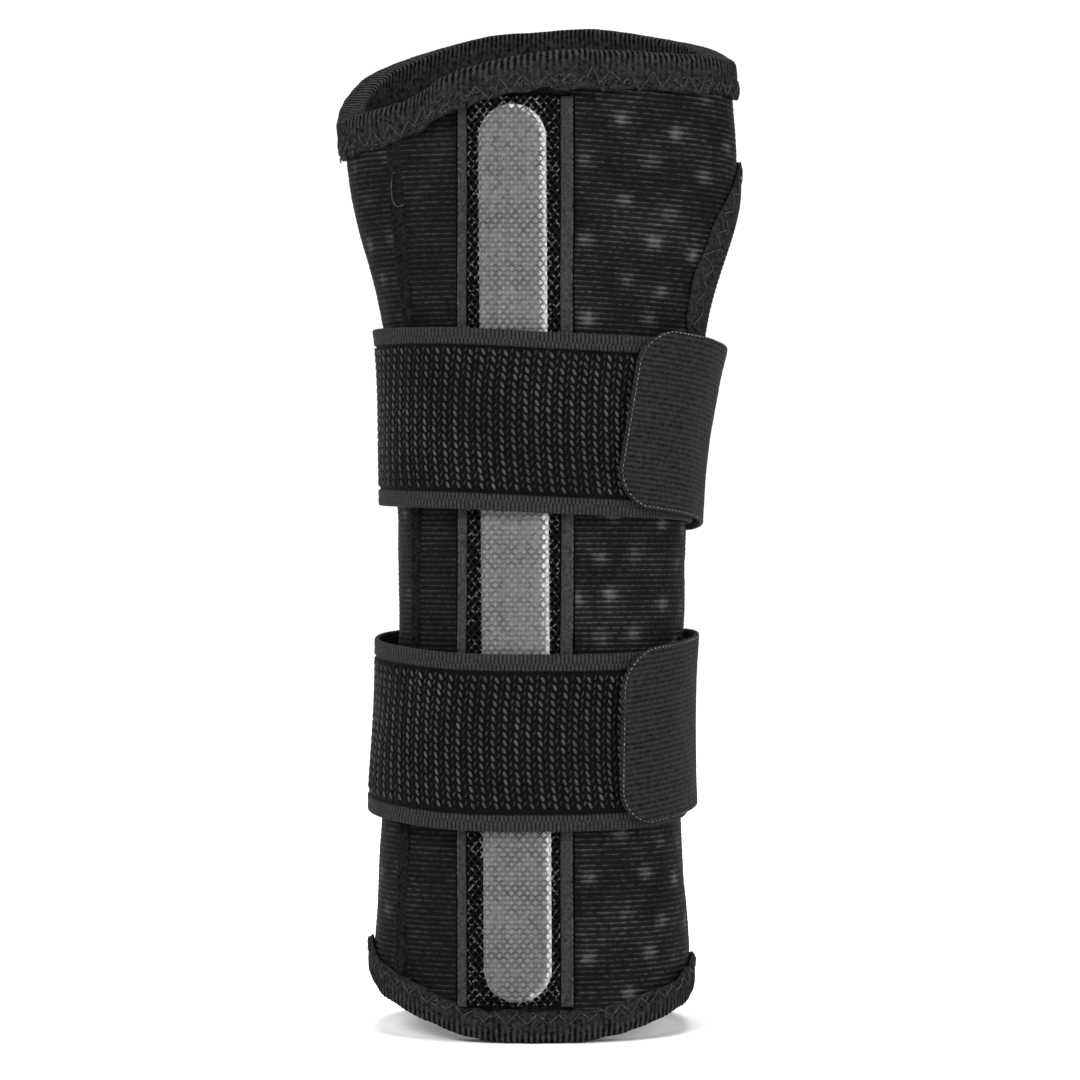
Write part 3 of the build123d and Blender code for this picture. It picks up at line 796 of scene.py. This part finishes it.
# level under the stay, rounded down at both sides: drop = depth (1 - sqrt(1 - e^2)) over 1.3 mm
def makeBacking():
    left, right = pocket["left"] - pocket["ulnarTape"] - 0.5, pocket["right"] + pocket["radialTape"] + 0.5
    across = np.concatenate([left + np.array([0, 0.12, 0.3, 0.6, 1.0]),
                             np.linspace(left + 1.6, right - 1.6, 40),
                             right - np.array([1.0, 0.6, 0.3, 0.12, 0])])
    x, y = np.meshgrid(across, np.linspace(pocket["low"], pocket["high"], 330), indexing="ij")
    under = sleeveLevel(x, y)
    edge = np.clip(np.maximum(left + 1.3 - x, x - right + 1.3) / 1.3, 0, 1)
    level = pocket["backing"] - (pocket["backing"] - under) * (1 - np.sqrt(1 - edge**2))
    outer = pocketPoint(x, y, level + 0.02 * uneven(x, y, 1.6, 61) * (edge < 0.1))
    piece = slabMesh("pocket_backing_cloth", outer, pocketPoint(x, y, under - 0.6), mapped(x, y))
    finish(piece, backingCloth, "sleeve", "pocket_tape", "pocket_backing")


# a flat tape with rounded edges, and a paler folded cord along its outer edge
def pocketTapeStrip(name, node, left, right, cordAt):
    bottom, top = pocket["backing"] + 0.05, pocket["tapeTop"]
    ring = np.array([(0, 0.25), (0.02, 0.75), (0.12, 1.0), (0.5, 1.04), (0.88, 1.0), (0.98, 0.75),
                     (1, 0.25), (0.9, 0),
                     (0.5, 0), (0.1, 0)])
    y = np.arange(pocket["low"], pocket["high"], 0.42)
    yGrid, across = np.meshgrid(y, ring[:, 0], indexing="ij")
    up = np.broadcast_to(ring[:, 1], across.shape)
    weave = 0.05 * np.cos(math.tau * yGrid / 1.26) * (up > 0.5)
    wander = 0.12 * uneven(yGrid, 0 * yGrid, 40, 67)
    points = pocketPoint(left + (right - left) * across + wander, yGrid, bottom + (top - bottom) * up + weave)
    count, rounds = across.shape
    i, j = np.meshgrid(np.arange(count - 1), np.arange(rounds), indexing="ij")
    quads = [np.stack([i * rounds + j, i * rounds + (j + 1) % rounds, (i + 1) * rounds + (j + 1) % rounds,
                       (i + 1) * rounds + j], -1).reshape(-1, 4)]
    caps = np.array([(9, 8, 1, 0), (8, 3, 2, 1), (8, 7, 4, 3), (7, 6, 5, 4)])
    quads += [caps, caps[:, ::-1] + (count - 1) * rounds]
    piece = quadMesh(name, points.reshape(-1, 3), np.concatenate(quads))
    finish(piece, pocketTape, "sleeve", "pocket_tape", node)
    t = np.arange(pocket["low"], pocket["high"], 0.3)
    path = pocketPoint(cordAt + 0.12 * uneven(t, 0 * t, 40, 67), t, top - 0.12)[None]
    pulse = 0.2 + 0.06 * np.cos(math.tau * t / 1.2)
    cord = threadMesh(name + "_edge", path, pulse[None], np.array((0.0, -1.0, 0.0)), 6)
    finish(cord, sewingThread, "sleeve", "pocket_tape")


# distance outside the stay's round-ended outline, in the pocket's plane; longer carries it on at the
# fingers' end
def outsideStay(x, y, longer=0.0):
    lean = math.radians(stay["lean"])
    dx, dy = x - stay["x"], y - 100
    x1, y1 = dx * math.cos(lean) + dy * math.sin(lean), 100 - dx * math.sin(lean) + dy * math.cos(lean)
    radius = stay["width"] / 2
    beyond = np.maximum(np.maximum(y1 - (stay["high"] + longer - radius), stay["low"] + radius - y1), 0)
    return np.hypot(x1, beyond) - radius


# zigzag yarns side by side, in turn, make staggered holes; they climb over the stay and lie flat beside it
def makeNet():
    count = int((pocket["right"] - pocket["left"]) / pocket["netPitch"])
    first = (pocket["right"] + pocket["left"] - (count - 1) * pocket["netPitch"]) / 2
    steps = int((pocket["high"] - pocket["low"] - 0.4) / (pocket["netRow"] / 4))
    column = np.arange(count)[:, None]
    y = pocket["low"] + 0.2 + np.arange(steps)[None] * pocket["netRow"] / 4 + 0 * column
    phase = math.tau * y / (2 * pocket["netRow"]) + np.pi * (column % 2)
    swing = 0.36 * pocket["netPitch"] * np.tanh(2.2 * np.sin(phase))
    x = first + column * pocket["netPitch"] + swing + 0.05 * uneven(column * 7.0, y, 9, 71)
    over = easeStep((1.35 - outsideStay(x, y, 30)) / 1.1)
    onStay = easeStep((0.35 - outsideStay(x, y)) / 0.5)
    top = stay["level"] + stay["thickness"] + 0.3
    flat = pocket["backing"] + 0.25
    level = flat + (top - flat) * over + 0.05 * np.cos(phase * 2)
    dice = np.random.default_rng(73)
    noise = dice.uniform(0, 1, x.shape)
    bands = 0.03 * np.sin(y * 0.55) + 0.03 * uneven(x, y, 30, 74)
    # painted glints: a fifth of the yarn points beside the stay are made paler at random
    paintedGlints = np.where(noise > 0.8, 0.27, 0.02)
    # painted highlight along the stay's +x edge, where the net runs over it
    edge = easeStep(1 - np.abs(outsideStay(x, y) + 0.3) / 0.75) * easeStep((x - stay["x"] - 2.0) / 2.5)
    # painted highlights: paler spots where the yarns cross
    crossingHighlights = 0.16 * np.exp(-((np.mod(phase / np.pi, 1) - 0.5) / 0.16) ** 2)
    # painted light: the yarn over the stay is made paler, as if lit by the bar under it, and near black beside
    # it
    shade = np.where(onStay > 0.5, 0.225 + 0.06 * noise + bands + crossingHighlights + 0.6 * edge, paintedGlints)
    path = pocketPoint(x, y, level)
    piece = threadMesh("pocket_net_yarns", path, pocket["netRadius"], np.array((0.0, -1.0, 0.0)), 4, 0.7,
                       {"shade": shade})
    finish(piece, netYarn, "sleeve", "pocket_net", "pocket_net")


# flat bar: half width across is that of a slot, sqrt(r^2 - d^2) towards the round ends
def makeStay():
    radius = stay["width"] / 2
    ends = radius * (1 - np.cos(np.linspace(0.02, np.pi / 2, 26)))
    rows = np.concatenate([stay["low"] + ends,
                           np.linspace(stay["low"] + radius, stay["high"] - radius, 120)[1:-1],
                           stay["high"] - ends[::-1]])
    beyond = np.maximum(np.maximum(rows - (stay["high"] - radius), stay["low"] + radius - rows), 0)
    half = np.sqrt(np.maximum(radius**2 - beyond**2, 0.05))
    across = np.array([-1, -0.985, -0.965, -0.93, -0.86, -0.7, -0.5, -0.25, 0, 0.25, 0.5, 0.7, 0.86, 0.93,
                       0.965, 0.985, 1])
    b, r = np.meshgrid(across, np.arange(len(rows)), indexing="ij")
    x1, y1 = b * half[r], rows[r]
    lean = math.radians(stay["lean"])
    x = stay["x"] + x1 * math.cos(lean) - (y1 - 100) * math.sin(lean)
    y = 100 + x1 * math.sin(lean) + (y1 - 100) * math.cos(lean)
    inside = -outsideStay(x, y)
    eased = 0.22 * (1 - easeStep(inside / 0.35))
    # painted highlight along the bar's +x edge, carried round its top end
    paintedEdgeShine = easeStep((1.35 - inside) / 0.6) * easeStep((x1 + 0.5 * np.maximum(y1 - 185, 0)) / 2.5 - 0.4)
    level = stay["level"]
    outer = pocketPoint(x, y, level + stay["thickness"] - eased)
    piece = slabMesh("stay_bar", outer, pocketPoint(x, y, level + eased), mapped(x1, y1),
                     values={"paintedEdgeShine": paintedEdgeShine})
    finish(piece, stayMetal, "stay", "stay_metal", "dorsal_stay")


makeBacking()
pocketTapeStrip("pocket_tape_ulnar_side", "pocket_tape_ulnar", pocket["left"] - pocket["ulnarTape"],
                pocket["left"] - 0.1,
                pocket["left"] - pocket["ulnarTape"] + 0.15)
pocketTapeStrip("pocket_tape_radial_side", "pocket_tape_radial", pocket["right"] + 0.1,
                pocket["right"] + pocket["radialTape"], pocket["right"] + pocket["radialTape"] - 0.15)
makeNet()
makeStay()
print("pocket and stay made")

# ---------- straps
strap = {
    "thickness": 1.0, "selvedge": 3.7, "ribPitch": 0.85, "ribDepth": 0.13,
    "columnPitch": 2.4, "rowPitch": 1.6, "dashLength": 1.3, "dashRadius": 0.33,
    "front": -8.0, "hinge": 323.4, "swingAt": 190.0, "hookFrom": 352.0, "tabCorner": 8.0,
}
straps = {
    "upper": {
        "width": 37.0, "tip": (15.0, 21.0), "seed": 81,
        "middle": (124.6, 125.0, 125.6, 126.2, 126.8, 127.6, 128.2, 128.6, 128.4, 127.4, 126.2, 124.8,
                   123.4, 124.4,
                   126.6, 128.6, 130.4),
        "lowGap": (0.4, 0.4, 0.6, 1.9, 3.2, 4.6, 3.2, 2.4, 1.2, 0.6, 0.5, 0.6, 1.6, 2.0, 2.4, 3.8, 5.4),
        "highGap": (1.4, 1.4, 1.4, 1.9, 3.2, 4.4, 2.2, 0.8, 0.6, 0.5, 0.5, 1.2, 3.0, 4.2, 3.4, 3.8, 5.4),
    },
    "lower": {
        "width": 36.0, "tip": (16.2, 16.8), "seed": 91,
        "middle": (64.6, 63.6, 62.4, 61.6, 61.5, 61.8, 63.2, 64.6, 65.4, 66.0, 66.4, 66.2, 65.8, 65.4,
                   64.0, 62.0, 60.0),
        "lowGap": (0.4, 0.4, 0.5, 1.9, 3.2, 4.6, 3.0, 1.9, 1.0, 0.6, 0.5, 0.6, 1.4, 2.0, 2.3, 3.8, 5.4),
        "highGap": (0.4, 0.4, 0.5, 1.9, 3.2, 4.6, 4.0, 3.4, 1.8, 0.8, 0.5, 0.6, 1.4, 2.0, 2.3, 3.8, 5.4),
    },
}


# a place on a strap: its angle round the sleeve, v from its middle line, and a level above the gap under it
def strapPoint(which, angle, v, level):
    place = (np.asarray(angle, float) + 30) / 30
    low, high = smooth(which["lowGap"], place), smooth(which["highGap"], place)
    share = np.asarray(v) / which["width"] + 0.5
    return sleevePoint(angle, smooth(which["middle"], place) + v, low + (high - low) * share + level)


# running length along the middle of a strap, as a sum of short chords
def strapLengths(which, start, stop):
    fine = np.linspace(start, stop, 1801)
    points = strapPoint(which, fine, 0.0, 1.0)
    return fine, np.concatenate([[0], np.cumsum(np.linalg.norm(np.diff(points, axis=0), axis=1))])


# rows across a band: given steps in from each edge, and an even pitch between
def acrossRows(width, edges, pitch):
    edges = np.asarray(edges)
    inside = width / 2 - edges[-1]
    middle = np.linspace(-inside, inside, int(round(2 * inside / pitch)) + 1)[1:-1]
    return np.concatenate([-width / 2 + edges, middle, (width / 2 - edges)[::-1]])


# woven ground: two rows of fine upright ribs in each selvedge, a groove, and a body of shallow columns
def strapBand(name, which):
    fine, length = strapLengths(which, strap["front"], strap["hinge"])
    u = np.arange(0, length[-1], strap["ribPitch"] / 4)
    u = np.append(u[:-1], length[-1])
    angles = np.interp(u, length, fine)
    v = acrossRows(which["width"], (0, 0.1, 0.3, 0.7, 1.2, 1.7, 1.95, 2.2, 2.7, 3.2, 3.5, 3.75, 4.0), 2.2)
    uGrid, vGrid = np.meshgrid(u, v, indexing="ij")
    angle = np.broadcast_to(angles[:, None], uGrid.shape)
    fromEdge = which["width"] / 2 - np.abs(vGrid)
    inSelvedge = easeStep((strap["selvedge"] - 0.2 - fromEdge) / 0.3)
    row = np.where(fromEdge < 1.95, 0.0, 0.5)
    rib = np.abs(np.sin(np.pi * (uGrid / strap["ribPitch"] + row))) ** 0.8
    rowGroove = np.exp(-((fromEdge - 1.95) / 0.18) ** 2)
    groove = np.exp(-((fromEdge - strap["selvedge"]) / 0.22) ** 2)
    rounded = 0.45 * (1 - np.sqrt(np.clip(1 - (1 - fromEdge / 0.5) ** 2, 0,
                                          1)) * (fromEdge < 0.5) - (fromEdge >= 0.5))
    body = 0.05 * np.cos(math.tau * uGrid / strap["columnPitch"]) - 0.12
    level = strap["thickness"] + inSelvedge * (0.05 + strap["ribDepth"] * (rib - 0.5)) + (1
                                                                                          - inSelvedge) * body
    level = level - 0.35 * groove - 0.12 * rowGroove - rounded
    # sag of the slack cloth, a little different along each edge
    wave = 0.1 * uneven(uGrid, vGrid, 22, which["seed"])
    outer = strapPoint(which, angle, vGrid, level + np.minimum(wave, 0))
    inner = strapPoint(which, angle, vGrid, 0.05 + 0.4 * np.clip(rounded, 0, 0.45))
    base = slabMesh(name + "_strap_ground", outer, inner, mapped(uGrid, vGrid),
                    values={"selvedge": inSelvedge, "rib": rib})
    floats = strapDashes(name, which, fine, length)
    for piece, material in ((base, strapGround), (floats, elasticYarn)):
        finish(piece, material, None, "strap_elastic")
        bendAt(piece)
    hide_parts(name + "_strap_front", name + "_strap_palmar")


# dashes: slanted oval floats in columns across the strap, a dimmer column between each pair of main ones
def strapDashes(name, which, fine, length):
    dice = np.random.default_rng(which["seed"])
    inside = which["width"] / 2 - strap["selvedge"] - 0.75
    rows = int(2 * inside / strap["rowPitch"]) + 1
    columns = int(length[-1] / strap["columnPitch"] * 2)
    c, r = (grid.ravel()[:, None] for grid in np.meshgrid(np.arange(columns), np.arange(rows), indexing="ij"))
    main = c % 2 == 0
    v = (r - (rows - 1) / 2) * strap["rowPitch"] + np.where(main, 0, 0.3 * strap["rowPitch"])
    v = v + 0.07 * dice.normal(size=v.shape)
    lean = 1.6 * (1 - (2 * v / which["width"]) ** 2)
    u = (c + 0.6) * strap["columnPitch"] / 2 + 0.07 * dice.normal(size=v.shape) + lean
    pulled = easeStep((u - 80) / 30) * easeStep((150 - u) / 30)
    u = u + 5.5 * pulled * easeStep(0.55 - v / which["width"]) ** 2
    step = np.array([-1.0, -0.45, 0.45, 1.0])[None]
    long = strap["dashLength"] * np.where(main, 1.0, 0.8) / 2
    slant = np.where(main, 0.5, -0.4)
    uPath, vPath = u + long * slant * step, v + long * step * 0.95
    angle = np.interp(np.clip(uPath, 0.3, length[-1] - 0.3), length, fine)
    level = strap["thickness"] - 0.08 + 0.1 * (1 - step**2) + 0 * uPath
    path = strapPoint(which, angle, vPath, level)
    up = strapPoint(which, angle, vPath, level + 4) - path
    radius = strap["dashRadius"] * np.where(main, 1.0, 0.72) * np.array([0.4, 1.0, 1.0, 0.4])[None]
    fade = 0.85 + 0.15 * uneven(u, v, 30, which["seed"] + 2)
    shade = np.where(main, dice.uniform(0.6, 1.0, v.shape), dice.uniform(0.2, 0.5, v.shape)) * fade
    return threadMesh(name + "_strap_floats", path, radius, up, 6, 0.6, {"shade": shade + 0 * uPath})


# bakes the piece's placement into its mesh
def bendAt(piece):
    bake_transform(piece)


# how far round each row of the tab reaches: to a slanted line across the front, with round corners
def tabReach(which, v, inset):
    lowX, highX = which["tip"]
    corner = strap["tabCorner"]
    beyond = np.clip(np.abs(v) - (which["width"] / 2 - corner), 0, corner)
    tip = lowX + (highX - lowX) * (v / which["width"] + 0.5) + corner - np.sqrt(corner**2 - beyond**2) + inset
    fine = np.linspace(385, 426, 600)
    x = strapPoint(which, fine[None], v[:, None], 1.0)[..., 0]
    return np.array([np.interp(-t, -row, fine) for t, row in zip(tip, x)])


# grid of a tab: each row runs from the start to its own free end, in equal shares of its length
def tabGrid(which, start, inset, pitch):
    edges = np.array((0, 0.08, 0.2, 0.4, 0.7, 1.1))
    v = acrossRows(which["width"] - 2 * inset, edges, pitch)
    grow = which["width"] / (which["width"] - 2 * inset)
    reach = tabReach(which, v * grow, inset)
    fine, length = strapLengths(which, start, 426)
    total = float(np.interp(np.median(reach), fine, length))
    share = np.concatenate([np.linspace(0, 1 - 1.6 / total, int(total / pitch)), 1 - edges[::-1] / total])
    s, vGrid = np.meshgrid(share, v, indexing="ij")
    uEnd = np.interp(reach, fine, length)
    u = s * uEnd[None]
    return np.interp(u, length, fine), u, vGrid, s, uEnd[None]


# brushed tape with soft round edges; a row of small paler stitches runs just inside its free edges
def strapTab(name, which):
    angle, u, v, s, uEnd = tabGrid(which, strap["hinge"], 0.0, 0.55)
    fromEdge = np.minimum(which["width"] / 2 - np.abs(v), (1 - s) * uEnd)
    rounded = 0.42 * (1 - np.sqrt(np.clip(1 - (1 - np.minimum(fromEdge / 0.7, 1)) ** 2, 0, 1)))
    nap = 0.05 * uneven(u, v, 2.2, which["seed"] + 5) + 0.1 * uneven(u, v, 14, which["seed"] + 6)
    outer = strapPoint(which, angle, v, 1.6 - rounded + np.minimum(nap, 0.06))
    inner = strapPoint(which, angle, v, 0.5 + rounded)
    tab = slabMesh(name + "_tab_tape", outer, inner, mapped(u, v))
    finish(tab, tabTape, None, "tab_tape", name + "_tab")
    bendAt(tab)
    stitches = tabStitches(name, which)
    hookPatch(name, which)


# short stitches every 1.05 mm along the free edges of a tab, 0.35 mm in from its sides
def tabStitches(name, which):
    half = which["width"] / 2 - 0.35
    v = np.linspace(-half, half, 400)
    angle = tabReach(which, v, 0.4)
    start = 368.0
    lowRun = np.linspace(start, angle[0], 160)
    highRun = np.linspace(angle[-1], start, 160)
    border = np.concatenate([lowRun, angle, highRun])
    vs = np.concatenate([np.full(160, -half), v, np.full(160, half)])
    points = strapPoint(which, border, vs, 1.5)
    length = np.concatenate([[0], np.cumsum(np.linalg.norm(np.diff(points, axis=0), axis=1))])
    at = np.arange(0.6, length[-1] - 0.6, 1.05)[:, None] + np.linspace(-0.3, 0.3, 4)[None]
    path = strapPoint(which, np.interp(at, length, border), np.interp(at, length, vs), 1.55)
    up = path * np.array((1.0, 1.0, 0.0))
    piece = threadMesh(name + "_tab_edge_stitches", path, 0.12 * np.array([[0.5, 1, 1, 0.5]]), up, 4)
    finish(piece, edgeThread, name + "_tab", "tab_tape")
    return piece


# moulded patch under the tab: a thin base with rows of small bent hooks standing down from it
def hookPatch(name, which):
    angle, u, v, s, uEnd = tabGrid(which, strap["hookFrom"], 1.6, 1.3)
    outer, inner = strapPoint(which, angle, v, 0.4), strapPoint(which, angle, v, 0.12)
    base = slabMesh(name + "_hook_base", outer, inner, mapped(u, v))
    finish(base, hookNylon, name + "_tab", "hook_tape", name + "_hook_patch")
    rows, columns = np.meshgrid(np.arange(3, angle.shape[1] - 3), np.arange(1, angle.shape[0] - 7),
                                indexing="ij")
    a, w = angle[columns, rows].ravel()[:, None], v[columns, rows].ravel()[:, None]
    t = np.linspace(0, 1, 5)[None]
    bend = 0.22 * t**2
    path = strapPoint(which, a + 0 * t, w + bend, 0.14 - 0.3 * np.sin(t * 2.2))
    hooks = threadMesh(name + "_hooks", path, 0.07, path * np.array((1.0, 1.0, 0.0)), 4)
    finish(hooks, hookNylon, name + "_tab", "hook_tape")


# short end of binding tape sewn down over the start of the strap, held by a box of stitches
def strapAnchor(name, which):
    angles = np.linspace(-15, -8.5, 12)
    v = acrossRows(which["width"] - 3.0, (0, 0.15, 0.4, 0.8), 1.2)
    angle, vGrid = np.meshgrid(angles, v, indexing="ij")
    wave = 0.05 * np.cos(math.tau * vGrid / 1.3)
    outer = strapPoint(which, angle, vGrid, 0.85 + wave)
    piece = slabMesh(name + "_anchor_tape", outer, strapPoint(which, angle, vGrid, 0.02),
                     mapped(angle, vGrid))
    finish(piece, bindingTape, "sleeve", "binding_tape", name + "_strap_anchor")
    at = np.arange(-which["width"] / 2 + 2.6, which["width"] / 2 - 2.6, 2.0)[:, None] + np.linspace(-0.8,
                                                                                                    0.8,
                                                                                                    6)[None]
    line = np.concatenate([at, at])
    where = np.concatenate([0 * at - 13.6, 0 * at - 9.8])
    path = strapPoint(which, where, line, 0.95 + 0 * line)
    stitches = threadMesh(name + "_anchor_stitches", path, 0.17, path * np.array((1.0, 1.0, 0.0)), 4)
    finish(stitches, sewingThread, "sleeve", "binding_tape")


# woven elastic ground: near black, with the selvedge's rib tops catching the light
def strapGroundMaterial():
    material, tree, shader = newMaterial("woven_elastic_ground", 0.75, {"IOR": 1.5, "Sheen Weight": 0.03})
    selvedge = addNode(tree, "ShaderNodeAttribute", {"attribute_name": "selvedge"})
    rib = addNode(tree, "ShaderNodeAttribute", {"attribute_name": "rib"})
    place = addNode(tree, "ShaderNodeUVMap", {"uv_map": "UVMap"})
    grain = addNode(tree, "ShaderNodeTexNoise",
                    inputs={"Vector": place.outputs["UV"], "Scale": 1.6, "Detail": 3.0})
    tops = mathNode(tree, "MULTIPLY", selvedge.outputs["Fac"], rib.outputs["Fac"])
    mixed = mathNode(tree, "MULTIPLY", tops.outputs[0], grain.outputs["Fac"])
    level = mathNode(tree, "MULTIPLY_ADD", grain.outputs["Fac"], 0.08, mixed.outputs[0])
    tree.links.new(ramp(tree, level.outputs[0], ((0.0, "#010101"), (0.6, "#2e2e2e"))),
                   shader.inputs["Base Color"])
    relief(tree, shader, grain.outputs["Fac"], 0.4, 0.0003)
    return material


strapGround = strapGroundMaterial()
for strapName, which in straps.items():
    strapAnchor(strapName, which)
    strapBand(strapName, which)
    strapTab(strapName, which)
print("straps made")

# ---------- floor, light and camera
studio = {"lens": 110.0, "distance": 0.7, "height": 0.1028, "world": 0.85}


# pale floor, curving up into a backdrop behind
def makeFloor():
    turn = np.linspace(0, np.pi / 2, 24)
    profile = np.concatenate([[(-4.0, 0.0)], np.stack([2.0 + np.sin(turn), 1.0 - np.cos(turn)], -1),
                              [(3.0, 5.0)]])
    count = len(profile)
    points = np.array([(x, y, z) for x in (-5.0, 5.0) for y, z in profile])
    faces = [(k, count + k, count + k + 1, k + 1) for k in range(count - 1)]
    mesh = bpy.data.meshes.new("studio_floor")
    mesh.from_pydata(points.tolist(), [], faces)
    mesh.polygons.foreach_set("use_smooth", [True] * len(faces))
    floor = bpy.data.objects.new("studio_floor", mesh)
    bpy.context.scene.collection.objects.link(floor)
    material, tree, shader = newMaterial("white_paper_floor", 0.9)
    shader.inputs["Base Color"].default_value = (0.93, 0.93, 0.93, 1)
    mesh.materials.append(material)


# round soft light turned from its place towards its target
def areaLight(name, place, target, size, power):
    lamp = bpy.data.lights.new(name, "AREA")
    lamp.shape = "DISK"
    lamp.size = size
    lamp.energy = power
    light = bpy.data.objects.new(name, lamp)
    light.location = place
    light.rotation_euler = (Vector(target) - Vector(place)).to_track_quat("-Z", "Y").to_euler()
    bpy.context.scene.collection.objects.link(light)


makeFloor()
areaLight("key_light", (-0.9, -1.5, 1.3), (0, 0, 0.1), 0.8, 34)
areaLight("fill_light", (1.3, -1.3, 0.8), (0, 0, 0.1), 1.0, 18)
areaLight("top_light", (0.0, 0.2, 1.7), (0, 0, 0.1), 1.0, 22)
world = bpy.data.worlds.new("studio_world")
world.use_nodes = True
world.node_tree.nodes["Background"].inputs["Color"].default_value = (1, 1, 1, 1)
world.node_tree.nodes["Background"].inputs["Strength"].default_value = studio["world"]
bpy.context.scene.world = world
bpy.context.scene.view_settings.view_transform = "Standard"
camera = bpy.data.objects.new("camera", bpy.data.cameras.new("camera"))
camera.data.lens = studio["lens"]
camera.data.clip_end = 50
camera.location = (0, -studio["distance"], studio["height"])
camera.rotation_euler = (math.pi / 2, 0, 0)
bpy.context.scene.collection.objects.link(camera)
bpy.context.scene.camera = camera
